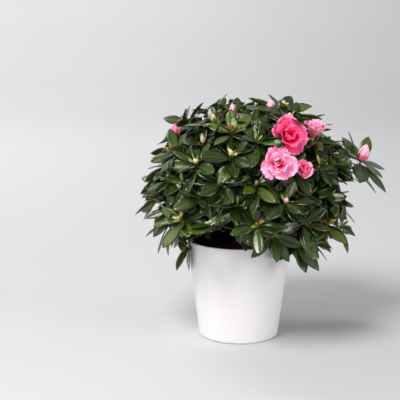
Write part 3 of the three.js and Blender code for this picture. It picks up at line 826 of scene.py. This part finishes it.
for mass in masses:
    points, triangles, where = shells(*leaf_sheets(mass["blades"]))
    row, column, sheet = where.T
    tones = np.array([LEAF_LOOK[b["tone"]] for b in mass["blades"]])
    looks = np.repeat(tones[:, None], len(where), axis=1)
    grown = looks != LEAF_LOOK["young"]
    on_rib = (column == RIB_COLUMN) & (row < RIB_ROWS) & (sheet == 0)
    looks = np.where(on_rib[None] & grown, LEAF_LOOK["midrib"], looks)
    looks = np.where((sheet == 1)[None] & grown, LEAF_LOOK["underside"], looks)
    made = piece(f"leaves_{mass['name']}", points * MM, triangles, LEAF_FINISHES, looks.ravel())
    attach(made, "root")
    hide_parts(f"foliage_{mass['name']}")

# %% [markdown]
# ## Twigs
# The year's growth is thin and greenish yellow, and older wood is red-brown. Each twig is a tapering tube,
# and its last part takes the green finish.

# %% Twigs
STEM = {"root": 1.8, "tip": 1.3, "rings": 9, "sides": 8}
TWIG = {"root": 1.25, "tip": 0.85, "rings": 11, "sides": 6, "side_share": 0.78, "green_from": 6}

old_wood = Finish("twig_old", Roughness=0.7)
old_wood.feed(
    Base_Color=old_wood.blend(old_wood.clouds(300, 3), (0.055, 0.022, 0.012), (0.16, 0.075, 0.035)),
    Normal=old_wood.bump(old_wood.clouds(500, 2), 0.0003, 0.7),
)
new_wood = Finish("twig_new", Roughness=0.5)
new_wood.feed(
    Base_Color=new_wood.blend(new_wood.clouds(200, 2), (0.13, 0.16, 0.035), (0.24, 0.24, 0.06)),
    Normal=new_wood.bump(new_wood.clouds(500, 2), 0.0002, 0.5),
)
parts = []
steps = np.linspace(0, 1, STEM["rings"])
for mass in masses:
    path = [mass["stem"](t) for t in steps]
    points, triangles, where = tube(path, lerp(STEM["root"], STEM["tip"], steps), STEM["sides"])
    parts.append((points, triangles, np.zeros(len(where), int)))
steps = np.linspace(0, 1, TWIG["rings"])
for twig in twigs:
    path = [twig["curve"](t) for t in steps]
    radii = lerp(TWIG["root"], TWIG["tip"], steps) * (1 if twig["main"] else TWIG["side_share"])
    points, triangles, where = tube(path, radii, TWIG["sides"])
    parts.append((points, triangles, (where >= TWIG["green_from"]).astype(int)))
points, triangles, looks = joined(parts)
made = piece("twigs", points * MM, triangles, [old_wood.material, new_wood.material], looks)
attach(made, "root")
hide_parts(*[f"foliage_{m['name']}" for m in masses])

# %% [markdown]
# ## Flowers
# The flowers are double: three or four whorls of broad petals, one inside the other, with ruffled margins.
# A petal is a shell like a leaf, but its middle line bends, its outline is broad and round, and its rim
# waves more and more towards the end.

# %% Petals
PETAL_ROWS = 12
PETAL_COLUMNS = 21
PETAL_THICK = 0.35
OUTLINE = {"claw": 0.12, "spread": 0.86, "ease": 1.4, "round_from": 0.6, "round_over": 0.5, "least": 0.1}
WAVES = {"broad": 4.4, "slant": 1.5, "frill": 11, "frill_turn": 2.3, "teeth": 17, "teeth_turn": 3.7}
RIM = {
    "grow": 2.2, "middle_share": 0.35, "edge_share": 0.65, "frill": 0.9, "frill_from": 0.5, "frill_push": 0.4,
    "tooth": 0.03, "tooth_part": 5, "fall_back": 0.16, "fall_ease": 2.4,
}


def half_width(width, s):
    """Half a petal's width, at shares s of its length."""
    blade_share = np.sin(np.clip(s * OUTLINE["spread"] + OUTLINE["claw"], 0, 1) * math.pi / 2)
    end = np.clip((s - OUTLINE["round_from"]) / OUTLINE["round_over"], 0, 1)
    return width / 2 * blade_share ** OUTLINE["ease"] * np.sqrt(np.clip(1 - end ** 2, OUTLINE["least"], 1))


def ruffles(p, s, u, half):
    """How far the points are lifted off a petal, and pushed along it. s runs along it and u across. Broad
    waves and finer frills grow towards the end, and fine teeth stand on the last fifth."""
    depth = p["ruffle"] * p["length"] * (s ** RIM["grow"])
    wave = np.sin(u * WAVES["broad"] + s * WAVES["slant"] + p["phase"])
    frill = np.sin(u * WAVES["frill"] + p["phase"] * WAVES["frill_turn"])
    frill = frill * np.clip(s - RIM["frill_from"], 0, 1)
    edge = RIM["middle_share"] + RIM["edge_share"] * np.abs(u)
    lift = depth * edge * (wave + RIM["frill"] * frill) + p["cup"] * half * u ** 2
    teeth = np.sin(u * WAVES["teeth"] + p["phase"] * WAVES["teeth_turn"])
    margin = np.clip(s * RIM["tooth_part"] - (RIM["tooth_part"] - 1), 0, 1)
    back = -RIM["fall_back"] * p["length"] * s ** 2 * np.abs(u) ** RIM["fall_ease"]
    return lift, back + RIM["frill_push"] * depth * frill + RIM["tooth"] * p["length"] * teeth * margin


def petal_sheet(p):
    """The upper sheet of one petal, built outwards from its foot along a bending middle line."""
    s = np.linspace(0, 1, PETAL_ROWS)
    u = np.linspace(-1, 1, PETAL_COLUMNS)
    tilt = np.radians(p["tilt"] + p["bend"] * s)
    step = p["length"] / (PETAL_ROWS - 1)
    out = np.concatenate([[0], np.cumsum(np.sin(tilt[:-1]) * step)])
    rise = np.concatenate([[0], np.cumsum(np.cos(tilt[:-1]) * step)])
    along = np.outer(np.sin(tilt), p["radial"]) + np.outer(np.cos(tilt), p["axis"])
    face = np.outer(np.sin(tilt), p["axis"]) - np.outer(np.cos(tilt), p["radial"])
    side = np.cross(p["axis"], p["radial"])
    middle = p["foot"] + np.outer(out, p["radial"]) + np.outer(rise, p["axis"])
    half = half_width(p["width"], s)
    lift, onward = ruffles(p, s[:, None], u[None], half[:, None])
    flat = middle[:, None] + side * (half[:, None] * u[None])[..., None]
    return flat + along[:, None] * onward[..., None] + face[:, None] * lift[..., None]


def petal_sheets(petals):
    """The upper and lower sheets of a list of petals, in millimetres."""
    upper = np.array([petal_sheet(p) for p in petals])
    faces = np.cross(np.gradient(upper, axis=1), np.gradient(upper, axis=2))
    return upper, upper - unit(faces) * PETAL_THICK


# %% [markdown]
# The throat is deep magenta and the margins are pale. The pinks run from throat to margin in five plain
# steps, and within each a soft noise darkens the colour in places.

# %% Petal finishes
PETAL_COLOURS = [
    (0.72, 0.008, 0.07), (0.92, 0.035, 0.16), (1.0, 0.11, 0.29), (1.0, 0.24, 0.44), (1.0, 0.42, 0.62),
]
DEEPER = 1.12


def petal_finish(name, colour):
    finish = Finish(name, Roughness=0.65, Specular_IOR_Level=0.2)
    deeper = tuple(c ** DEEPER for c in colour)
    return finish.feed(
        Base_Color=finish.blend(finish.clouds(220, 3), deeper, colour),
        Normal=finish.bump(finish.clouds(700, 2, stretch=(1, 1, 0.4)), 0.0002, 0.5),
    )


PETAL_FINISHES = [petal_finish(f"petal_{i + 1}", colour) for i, colour in enumerate(PETAL_COLOURS)]
print("petal finishes", len(PETAL_FINISHES))

# %% [markdown]
# An open flower has an outer whorl of five petals that bend down until they lie nearly flat, two whorls
# that stand up more and more, and two crumpled petals at its heart. A half-open flower is a funnel of
# three whorls. A flower's tint shifts its pinks, from deep to pale, and its inner whorls are deeper.

# %% Open and half-open flowers
FLOWERS = {
    "bloom": [
        {"count": 5, "rise": 3, "tilt": 48, "bend": 38, "size": 1.12, "ruffle": 0.1, "cup": 0.04},
        {"count": 4, "rise": 5, "tilt": 28, "bend": 34, "size": 0.95, "ruffle": 0.14, "cup": 0.12},
        {"count": 3, "rise": 7, "tilt": 12, "bend": 20, "size": 0.74, "ruffle": 0.17, "cup": 0.3},
        {"count": 2, "rise": 8, "tilt": 3, "bend": 12, "size": 0.55, "ruffle": 0.18, "cup": 0.5},
    ],
    "half": [
        {"count": 5, "rise": 2, "tilt": 20, "bend": 26, "size": 1.15, "ruffle": 0.05, "cup": 0.3},
        {"count": 4, "rise": 4, "tilt": 11, "bend": 18, "size": 1.05, "ruffle": 0.09, "cup": 0.3},
        {"count": 3, "rise": 5, "tilt": 3, "bend": 10, "size": 0.86, "ruffle": 0.12, "cup": 0.4},
    ],
}
HUB = 1.2
WHORL_TURN = 0.55
PALER = {"start": 0.2, "along": 3.4, "aside": 1.6, "tint": 2, "inwards": 0.6}


def petals_of(twig):
    """The petals of one flower, from its outer whorl inwards."""
    roll, axis = twig["roll"], twig["axis"]
    u, v = whorl_axes(axis)
    first = roll(0, FULL_TURN)
    petals = []
    for ring, plan in enumerate(FLOWERS[twig["kind"]]):
        for k in range(plan["count"]):
            turn = first + ring * WHORL_TURN + k * FULL_TURN / plan["count"] + roll(-0.22, 0.22)
            radial = math.cos(turn) * u + math.sin(turn) * v
            length = twig["size"] * plan["size"] * roll(0.86, 1.1)
            petals.append({
                "foot": twig["tip"] + axis * plan["rise"] + radial * HUB, "axis": axis, "radial": radial,
                "tilt": plan["tilt"] + roll(-10, 10), "bend": plan["bend"] + roll(-12, 8), "length": length,
                "width": length * roll(1.02, 1.28), "cup": plan["cup"] + roll(-0.08, 0.08),
                "ruffle": plan["ruffle"] * roll(0.8, 1.25), "phase": roll(0, FULL_TURN),
                "tint": twig["tint"] * PALER["tint"] - ring * PALER["inwards"],
            })
    return petals


flowering = [twig for twig in twigs if twig["kind"] in FLOWERS]
petals = [petal for twig in flowering for petal in petals_of(twig)]
tints = np.array([petal["tint"] for petal in petals])
points, triangles, where = shells(*petal_sheets(petals))
along = where[:, 0] / (PETAL_ROWS - 2)
aside = np.abs(where[:, 1] / (PETAL_COLUMNS - 2) - 0.5)
shade = along * PALER["along"] + aside * PALER["aside"]
looks = np.clip(np.round(shade[None] + tints[:, None] + PALER["start"]), 0, len(PETAL_FINISHES) - 1)
made = piece("flowers", points * MM, triangles, PETAL_FINISHES, looks.ravel())
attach(made, "root")
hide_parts(*[f"foliage_{name}" for name in sorted({t["mass"]["name"] for t in flowering})])

# %% [markdown]
# ## Buds
# A bud is a furled spindle of overlapping petals or scales. Each of them is a shell that wraps round the
# bud's axis, swells to a belly and tapers to the tip.

# %% Furled spindles
WRAP = {"narrow": 1.25, "wide": 1.5, "twist": 0.9, "overlap": 0.1, "nest": 0.03, "round": 0.06, "thick": 0.25}
BELLY = {"foot": 0.1, "spread": 0.92, "end": 0.995, "ease": 0.75}


def furl(centre, axis, length, radius, wraps, turn, rows):
    """The upper and lower sheets of a bud."""
    s = np.linspace(0, 1, rows)[:, None]
    u = np.linspace(-1, 1, rows - 2)[None]
    a, b = whorl_axes(axis)
    spread = WRAP["narrow"] if wraps > 3 else WRAP["wide"]
    belly = np.sin(np.clip(s * BELLY["spread"] + BELLY["foot"], 0, BELLY["end"]) * math.pi) ** BELLY["ease"]
    up = axis * (s * length * (1 - WRAP["round"] * u ** 2))[..., None]
    sheets = []
    for k in range(wraps):
        around = turn + k * FULL_TURN / wraps + u * spread + s * WRAP["twist"]
        out = radius * belly * (1 + WRAP["overlap"] * u + WRAP["nest"] * k)
        place = np.cos(around)[..., None] * a + np.sin(around)[..., None] * b
        sheets.append(centre + place * out[..., None] + up)
    upper = np.array(sheets)
    inward = unit(centre + axis * (s * length)[..., None] - upper)
    return upper, upper + inward * WRAP["thick"]


# %% [markdown]
# The big buds show pink and stand upright in a cup of scales, and each flower stands on a green cup. Many
# leafy whorls hold a smaller bud, mostly green at its foot and cream, pink or brown at its tip, and up to
# two still smaller ones lean away from it on short green stalks. The others end in a green point.

# %% Buds
BUD_COLOURS = {
    "pink": (0.92, 0.20, 0.36), "pale_pink": (0.98, 0.50, 0.62), "salmon": (0.90, 0.30, 0.22),
    "cream": (0.74, 0.60, 0.34), "rust": (0.30, 0.13, 0.05), "green": (0.24, 0.33, 0.065),
}
BIG_BUDS = [("pink", "pale_pink"), ("pale_pink", "pale_pink"), ("salmon", "pale_pink"), ("salmon", "pink")]
SMALL_BUDS = [
    ("green", "cream"), ("green", "rust"), ("rust", "cream"), ("green", "green"), ("cream", "pale_pink"),
]
BIG_BUD = {"length": 1.05, "radius": 0.28, "cup_length": 7, "cup_radius": 3, "sunk": 1.5}
FLOWER_CUP = {"length": 8.5, "radius": 3.4, "sunk": 2}
SMALL_BUD_CHANCE = {"main": 0.6, "side": 0.25}
STALK = {"radius": 0.9, "into_bud": 2}
LONG_BUD = 16
BUD_ROWS = {"long": 8, "short": 6}


def big_bud(twig):
    tip, size = twig["tip"], twig["size"]
    axis = unit(twig["axis"] + UP)
    length, radius = size * BIG_BUD["length"], size * BIG_BUD["radius"]
    cup = (tip - axis * BIG_BUD["sunk"], axis, BIG_BUD["cup_length"], BIG_BUD["cup_radius"], 4)
    return [(tip, axis, length, radius, 5, *BIG_BUDS[twig["tint"]]), (*cup, "green", "rust")]


def flower_cup(twig):
    foot = twig["tip"] - twig["axis"] * FLOWER_CUP["sunk"]
    return [(foot, twig["axis"], FLOWER_CUP["length"], FLOWER_CUP["radius"], 4, "green", "green")]


def small_buds(twig):
    """A small bud, often with one or two more beside it, each on a stalk."""
    roll, axis, tip = twig["roll"], twig["axis"], twig["tip"]
    colours = SMALL_BUDS[whole(roll, 0, len(SMALL_BUDS))]
    spindles = [(tip, axis, roll(9, 15), roll(2.4, 3.5), 4, *colours)]
    u, v = whorl_axes(axis)
    first = roll(0, FULL_TURN)
    for k in range(whole(roll, 0, 3)):
        turn = first + k * GOLDEN
        way = unit(axis + (math.cos(turn) * u + math.sin(turn) * v) * roll(0.5, 0.9))
        stalk = roll(3, 5)
        spindles.append((tip, way, stalk + STALK["into_bud"], STALK["radius"], 3, "green", "green"))
        spindles.append((tip + way * stalk, way, roll(7, 11), roll(1.6, 2.4), 3, *colours))
    return spindles


def spindles_of(twig):
    """The spindles at a twig's tip: foot, axis, length, radius, number of wraps and two colours."""
    roll = twig["roll"]
    if twig["kind"] == "bud":
        return big_bud(twig)
    if twig["kind"] in FLOWERS:
        return flower_cup(twig)
    if roll(0, 1) < SMALL_BUD_CHANCE["main" if twig["main"] else "side"]:
        return small_buds(twig)
    return [(twig["tip"], twig["axis"], roll(3.5, 5.5), roll(1.0, 1.4), 3, "green", "green")]


BUD_FINISHES = [petal_finish(f"bud_{name}", colour) for name, colour in BUD_COLOURS.items()]
BUD_LOOK = {name: i for i, name in enumerate(BUD_COLOURS)}
parts = []
for twig in twigs:
    for foot, axis, length, radius, wraps, low_colour, high_colour in spindles_of(twig):
        rows = BUD_ROWS["long" if length > LONG_BUD else "short"]
        turn = twig["roll"](0, FULL_TURN)
        points, triangles, where = shells(*furl(foot, axis, length, radius, wraps, turn, rows))
        high = where[:, 0] >= rows // 2 - 1
        looks = np.tile(np.where(high, BUD_LOOK[high_colour], BUD_LOOK[low_colour]), wraps)
        parts.append((points, triangles, looks))
points, triangles, looks = joined(parts)
made = piece("buds", points * MM, triangles, BUD_FINISHES, looks)
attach(made, "root")
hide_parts(*[f"foliage_{m['name']}" for m in masses])

# %% [markdown]
# ## Trunk and boughs
# The wood is one skin from the flare at the peat to the bough tips. Separate tubes would meet in hard
# creases, so they are joined and given a common skin by a voxel remesh. The trunk's profile has its flare,
# its waist and its swelling at the fork.

# %% Wood
VOXEL = 0.0007
TRUNK_PROFILE = [(0, 11.5), (0.2, 8.1), (0.5, 6.3), (0.84, 7.8), (1, 6.2)]
TRUNK_GRID = {"rings": 12, "sides": 28}
BOUGH_GRID = {"rings": 24, "sides": 16, "tip": 1.75}

steps = np.linspace(0, 1, TRUNK_GRID["rings"])
profile = np.interp(steps, *zip(*TRUNK_PROFILE))
parts = [tube([trunk_point(t) for t in steps], profile, TRUNK_GRID["sides"])]
steps = np.linspace(0, 1, BOUGH_GRID["rings"])
for mass in masses:
    path = [mass["bough"](t) for t in steps]
    parts.append(tube(path, lerp(mass["root"], BOUGH_GRID["tip"], steps), BOUGH_GRID["sides"]))
points, triangles, _ = joined(parts)
rough = piece("bark_rough", points * MM, triangles, [])
skin = rough.modifiers.new("skin", "REMESH")
skin.mode = "VOXEL"
skin.voxel_size = VOXEL
bpy.context.view_layer.update()
wood = bpy.data.meshes.new_from_object(rough.evaluated_get(bpy.context.evaluated_depsgraph_get()))
bpy.data.objects.remove(rough)
print("skin faces", len(wood.polygons))

# %% [markdown]
# The skin's points then move in and out for the stringy relief of the bark: ridges drawn out upwards, and
# rounder knots between them. The foot stays flat, just under the peat's surface. The finish repeats the
# strings in its colour.

# %% Bark
RELIEF = {"ridges": 0.34, "ridge_grain": 0.75, "ridge_stretch": 0.12, "knots": 0.3, "knot_grain": 0.22}
UNDER_PEAT = 0.5


def ridge(p):
    """A ridge is where the noise crosses zero."""
    across, upward = RELIEF["ridge_grain"], RELIEF["ridge_stretch"]
    strand = noise.noise(Vector((p[0] * across, p[1] * across, p[2] * upward)))
    return 1 - 2 * abs(strand)


place = np.empty(len(wood.vertices) * 3)
wood.vertices.foreach_get("co", place)
place = place.reshape(-1, 3) / MM
normals = np.array([v.normal for v in wood.vertices])
ridges = np.array([ridge(p) for p in place])
knots = np.array([noise.noise(Vector(p) * RELIEF["knot_grain"]) for p in place])
place = place + normals * ((ridges - 0.5) * RELIEF["ridges"] + knots * RELIEF["knots"])[:, None]
place[:, 2] = np.maximum(place[:, 2], PEAT_TOP - UNDER_PEAT)
wood.vertices.foreach_set("co", (place * MM).ravel())
wood.polygons.foreach_set("use_smooth", np.ones(len(wood.polygons), bool))

bark = Finish("bark", Roughness=0.82)
strings = bark.clouds(420, 4, stretch=(1, 1, 0.18))
bark.feed(
    Base_Color=bark.blend(strings, (0.030, 0.014, 0.009), (0.155, 0.075, 0.040)),
    Roughness=0.74 + strings * 0.16,
    Normal=bark.bump(strings, 0.0004, 0.8),
)
wood.materials.clear()
wood.materials.append(bark.material)
wood.update()
made = bpy.data.objects.new("bark", wood)
bpy.context.scene.collection.objects.link(made)
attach(made, "root")
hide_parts("trunk", *[f"bough_{m['name']}" for m in masses])
print("bark faces", len(wood.polygons))

# %% [markdown]
# ## Pot
# The pot is thrown or moulded round, so it is a profile turned about its axis. The rim and the foot have
# small rounded edges, which catch the light.

# %% Pot profile
SEGMENTS = 144


def arc(centre, radius, start_deg, end_deg, count):
    """The points of a round edge, from one angle to another."""
    turns = np.radians(np.linspace(start_deg, end_deg, count))
    return [(centre[0] + radius * math.cos(t), centre[1] + radius * math.sin(t)) for t in turns]


def turned(profile, segments):
    """A profile turned about the axis, as points and triangles. Its two ends lie on the axis."""
    turns = np.arange(segments) * FULL_TURN / segments
    inner = profile[1:-1]
    points = [(r * math.cos(t), r * math.sin(t), z) for t in turns for r, z in inner]
    points += [(0, 0, profile[0][1]), (0, 0, profile[-1][1])]
    size = len(inner)
    triangles = []
    for i in range(segments):
        j = (i + 1) % segments
        for k in range(size - 1):
            a, b, c, d = i * size + k, j * size + k, j * size + k + 1, i * size + k + 1
            triangles += [(a, b, c), (a, c, d)]
        triangles.append((segments * size, j * size, i * size))
        triangles.append((segments * size + 1, i * size + size - 1, j * size + size - 1))
    return np.array(points), np.array(triangles)


rim_in = POT["rim"] - POT["wall"]
foot_in = POT["foot"] - POT["wall"]
under_lip = POT["height"] - POT["lip"]
on_fillet = POT["floor"] + POT["fillet"]
profile = [(0, 0), (POT["foot"] * 0.5, 0)]
profile += arc((POT["foot"] - POT["round"], POT["round"]), POT["round"], -90, -5, 6)
for t in (0.25, 0.5, 0.75):
    profile.append((lerp(POT["foot"], POT["rim"], t), lerp(POT["round"], under_lip, t)))
profile += arc((POT["rim"] - POT["lip"], under_lip), POT["lip"], 0, 80, 5)
profile += arc((rim_in + POT["lip"], under_lip), POT["lip"], 100, 180, 5)
for t in (0.1, 0.3, 0.6):
    profile.append((lerp(rim_in, foot_in, t), lerp(under_lip, on_fillet, t)))
profile += [(foot_in, on_fillet), (foot_in - POT["fillet"], POT["floor"]), (0, POT["floor"])]
points, triangles = turned(profile, SEGMENTS)
print("pot profile points", len(profile))

# %% [markdown]
# The finish is a satin white glaze. Inside, above the bed, the wall is painted dark brown up to a ragged
# edge just under the rim: painted shade, standing for the shadow in the pot under the crown. A triangle
# whose middle lies nearer the axis than the wall's inner part is inside.

# %% Pot glaze
PAINTED_SHADE = {"top": 0.1325, "sharpness": 220, "ragged": 2.2}
WALL_DEPTH = 0.75
ABOVE_FLOOR = 3

glaze = Finish("white_glaze", Roughness=0.38, Coat_Weight=0.12, Coat_Roughness=0.25)
glaze.feed(
    Base_Color=glaze.blend(glaze.clouds(14, 2), (0.815, 0.783, 0.796), (0.845, 0.813, 0.826)),
    Roughness=0.34 + glaze.clouds(90, 3) * 0.1,
    Normal=glaze.bump(glaze.clouds(40, 2), 0.0002, 0.25),
)
# Painted shade: the inner wall is dark brown from the bed up to a ragged edge just under the rim.
inner_shade = Finish("glaze_painted_shade", Roughness=0.7)
wall_height = inner_shade.node("ShaderNodeSeparateXYZ", {}, {"Vector": inner_shade.where()}, out=2)
shade_mask = (PAINTED_SHADE["top"] - wall_height) * PAINTED_SHADE["sharpness"] + (inner_shade.clouds(130, 4) - 0.5) * PAINTED_SHADE["ragged"]
inner_shade.feed(Base_Color=inner_shade.blend(shade_mask, (0.83, 0.80, 0.80), (0.035, 0.018, 0.012)))
middle = points[triangles].mean(axis=1)
mid_wall = lerp(POT["foot"], POT["rim"], middle[:, 2] / POT["height"]) - POT["wall"] * WALL_DEPTH
above_floor = middle[:, 2] > POT["floor"] + ABOVE_FLOOR
inside = (np.hypot(middle[:, 0], middle[:, 1]) < mid_wall) & above_floor
made = piece("white_pot", points * MM, triangles, [glaze.material, inner_shade.material], inside)
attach(made, "root")
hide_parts("pot")

# %% [markdown]
# ## Peat
# The soil is coarse peat: a lumpy surface with crumbs and reddish fibres lying on it. The bed is level in
# the middle, calm round the trunk, and sinks a little towards the wall, where a skirt closes it below. Its
# relief is the sum of wide lumps and fine ones, each a grain, a layer of the noise and a height.

# %% Peat bed
BED = {
    "rings": 34, "segments": 96, "gap": 0.3, "sink": 3, "level": 0.4, "calm": 0.75, "calm_width": 260,
    "raise": 0.4, "skirt": 14, "skirt_share": 0.985,
}
WIDE_LUMPS = (0.09, 3.1, 2.0)
FINE_LUMPS = (0.45, 7.7, 1.1)
edge_height = PEAT_TOP - BED["sink"]
bed_edge = lerp(foot_in, rim_in, (edge_height - POT["floor"]) / (POT["height"] - POT["floor"])) - BED["gap"]


def lumps(x, y, grain, layer, height):
    return noise.noise(Vector((x * grain, y * grain, layer))) * height


def bed_height(x, y):
    out = max(math.hypot(x, y) / bed_edge - BED["level"], 0)
    slope = -BED["sink"] * out ** 2 / (1 - BED["level"]) ** 2
    near_trunk = math.exp(-((x * x + y * y) / BED["calm_width"]))
    relief = lumps(x, y, *WIDE_LUMPS) + lumps(x, y, *FINE_LUMPS)
    return PEAT_TOP + slope + relief * (1 - BED["calm"] * near_trunk) + BED["raise"]


def ring_points(radius, height_at):
    turns = np.arange(BED["segments"]) * FULL_TURN / BED["segments"]
    places = [(radius * math.cos(t), radius * math.sin(t)) for t in turns]
    return [(x, y, height_at(x, y)) for x, y in places]


bottom = PEAT_TOP - BED["skirt"]
points = [(0, 0, bed_height(0, 0))]
for share in np.linspace(0, 1, BED["rings"])[1:]:
    points += ring_points(bed_edge * share, bed_height)
skirt = len(points)
points += ring_points(bed_edge * BED["skirt_share"], lambda x, y: bottom)
points.append((0, 0, bottom))
triangles = []
for i in range(BED["segments"]):
    j = (i + 1) % BED["segments"]
    triangles.append((0, 1 + i, 1 + j))
    for r in range(BED["rings"] - 1):
        a, b = 1 + r * BED["segments"] + i, 1 + r * BED["segments"] + j
        c, d = b + BED["segments"], a + BED["segments"]
        triangles += [(a, d, c), (a, c, b)]
    triangles.append((len(points) - 1, skirt + j, skirt + i))

soil = Finish("peat", Roughness=0.95)
grain = soil.clouds(320, 5, 0.65)
soil.feed(
    Base_Color=soil.blend(grain, (0.014, 0.006, 0.004), (0.120, 0.050, 0.026)),
    Normal=soil.bump(grain, 0.0008, 0.9),
)
made = piece("peat_bed", np.array(points) * MM, np.array(triangles), [soil.material])
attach(made, "root")
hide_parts("peat")

# %% [markdown]
# Crumbs and fibres are dealt over the bed by dice of the same kind as the shoots'. A crumb is a cube whose
# corners are pulled in at random, turned about and flat-shaded. A fibre is a thin tube that arches over the
# bed and thins out.

# %% Crumbs and fibres
CRUMBS = {"count": 420, "largest": 2.4, "half_share": 0.8, "raise": 0.25, "from_wall": 3}
FIBRES = {"count": 90, "length": (7, 20), "bend": 0.9, "raise": 0.5, "arch": 1.6, "from_wall": 12}
FIBRE_GRID = {"rings": 6, "root": 0.4, "tip": 0.2, "sides": 4}
BED_SEED = 900
CUBE = np.array([(x, y, z) for x in (-1, 1) for y in (-1, 1) for z in (-1, 1)], float)
CUBE_FACES = np.array([
    (0, 1, 3), (0, 3, 2), (4, 6, 7), (4, 7, 5), (0, 4, 5), (0, 5, 1),
    (2, 3, 7), (2, 7, 6), (0, 2, 6), (0, 6, 4), (1, 5, 7), (1, 7, 3),
])
roll = dice(BED_SEED)


def on_bed(from_wall):
    turn, out = roll(0, FULL_TURN), (bed_edge - from_wall) * math.sqrt(roll(0.02, 1))
    return out * math.cos(turn), out * math.sin(turn)


def crumb():
    size = roll(0.5, 1.0) ** 2 * CRUMBS["largest"]
    x, y = on_bed(CRUMBS["from_wall"])
    jitter = np.array([[roll(0.5, 1) for _ in range(3)] for _ in range(8)])
    centre = np.array([x, y, bed_height(x, y) + size * CRUMBS["raise"]])
    turn = roll(0, math.pi)
    spin = np.array([[math.cos(turn), -math.sin(turn), 0], [math.sin(turn), math.cos(turn), 0], [0, 0, 1]])
    points = centre + (CUBE * jitter * size * CRUMBS["half_share"]) @ spin
    return points, CUBE_FACES, np.zeros(len(CUBE_FACES), int)


def fibre():
    x, y = on_bed(FIBRES["from_wall"])
    turn, length = roll(0, FULL_TURN), roll(*FIBRES["length"])
    bend = roll(-FIBRES["bend"], FIBRES["bend"])
    path = []
    for t in np.linspace(0, 1, FIBRE_GRID["rings"]):
        way = turn + bend * t
        px, py = x + math.cos(way) * length * (t - 0.5), y + math.sin(way) * length * (t - 0.5)
        arch = FIBRES["arch"] * math.sin(t * math.pi) * abs(bend)
        path.append((px, py, bed_height(px, py) + FIBRES["raise"] + arch))
    radii = np.linspace(FIBRE_GRID["root"], FIBRE_GRID["tip"], FIBRE_GRID["rings"])
    points, triangles, where = tube(path, radii, FIBRE_GRID["sides"])
    return points, triangles, np.ones(len(where), int)


parts = [crumb() for _ in range(CRUMBS["count"])] + [fibre() for _ in range(FIBRES["count"])]
crumb_finish = Finish("peat_crumb", Roughness=0.92)
crumb_finish.feed(
    Base_Color=crumb_finish.blend(crumb_finish.clouds(500, 3), (0.030, 0.015, 0.010), (0.120, 0.060, 0.034)),
    Normal=crumb_finish.bump(crumb_finish.clouds(900, 3), 0.0005, 0.8),
)
fibre_finish = Finish("peat_fibre", Roughness=0.8)
fibre_finish.feed(
    Base_Color=fibre_finish.blend(fibre_finish.clouds(400, 2), (0.10, 0.035, 0.016), (0.26, 0.11, 0.05)),
)
points, triangles, looks = joined(parts)
finishes = [crumb_finish.material, fibre_finish.material]
made = piece("peat_crumbs", points * MM, triangles, finishes, looks, smooth=False)
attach(made, "root")
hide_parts("peat")

# %% [markdown]
# ## Floor and light
# The plant stands on a pale seamless floor that sweeps up into the backdrop. A large soft lamp high at the
# front left gives the broad sheen on the leaves and throws a soft shadow to the right. Two weaker ones, low
# on the left and on the right, light the pot under the crown. A fourth brightens the backdrop on the left,
# and an even pale surround opens the shade.

# %% Floor
SWEEP = [
    (-4.0, 0.0), (2.3, 0.0), (2.75, 0.05), (3.15, 0.2), (3.45, 0.45), (3.6, 0.8), (3.65, 1.3), (3.65, 4.0),
]
HALF_WIDTH = 4.0
points = np.array([(x, y, z) for y, z in SWEEP for x in (-HALF_WIDTH, HALF_WIDTH)])
triangles = np.array([
    face for i in range(len(SWEEP) - 1)
    for face in ((2 * i, 2 * i + 1, 2 * i + 3), (2 * i, 2 * i + 3, 2 * i + 2))
])
paper = Finish("pale_paper", Roughness=0.7)
paper.feed(Base_Color=paper.blend(paper.clouds(3, 2), (0.515, 0.515, 0.52), (0.535, 0.535, 0.54)))
floor = piece("floor", points, triangles, [paper.material])
floor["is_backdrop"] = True


# %% Lamps and surround
def lamp(name, place, target, size, power):
    light = bpy.data.lights.new(name, "AREA")
    light.shape = "DISK"
    light.size = size
    light.energy = power
    made = bpy.data.objects.new(name, light)
    bpy.context.scene.collection.objects.link(made)
    made.location = place
    made.rotation_euler = (Vector(target) - Vector(place)).to_track_quat("-Z", "Y").to_euler()


PLANT = (0, 0, 0.15)
BACKDROP = (-0.2, 3.6, 0.5)
lamp("key", (-0.66, -1.12, 1.72), PLANT, 0.9, 45)
lamp("low_left", (-1.8, -1.4, 0.6), PLANT, 1.4, 14)
lamp("low_right", (1.9, -0.9, 0.5), PLANT, 1.0, 17)
lamp("backdrop", (-1.4, 1.3, 2.3), BACKDROP, 1.6, 80)
world = bpy.data.worlds.new("surround")
bpy.context.scene.world = world
world.use_nodes = True
surround = world.node_tree.nodes["Background"].inputs
surround["Color"].default_value = (0.97, 0.98, 1.0, 1)
surround["Strength"].default_value = 0.33
bpy.context.scene.view_settings.view_transform = "Standard"
print("lamps", [thing.name for thing in bpy.data.lights])

# %% [markdown]
# ## Sizes
# The dressed plant should fill the solid model's box and go no more than a few millimetres beyond it, so
# how far it goes beyond the box on each side is printed.

# %% Finish
low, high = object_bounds()
print("beyond the box, in mm", [round(v / MM, 1) for v in (*(cad_low - low), *(high - cad_high))])
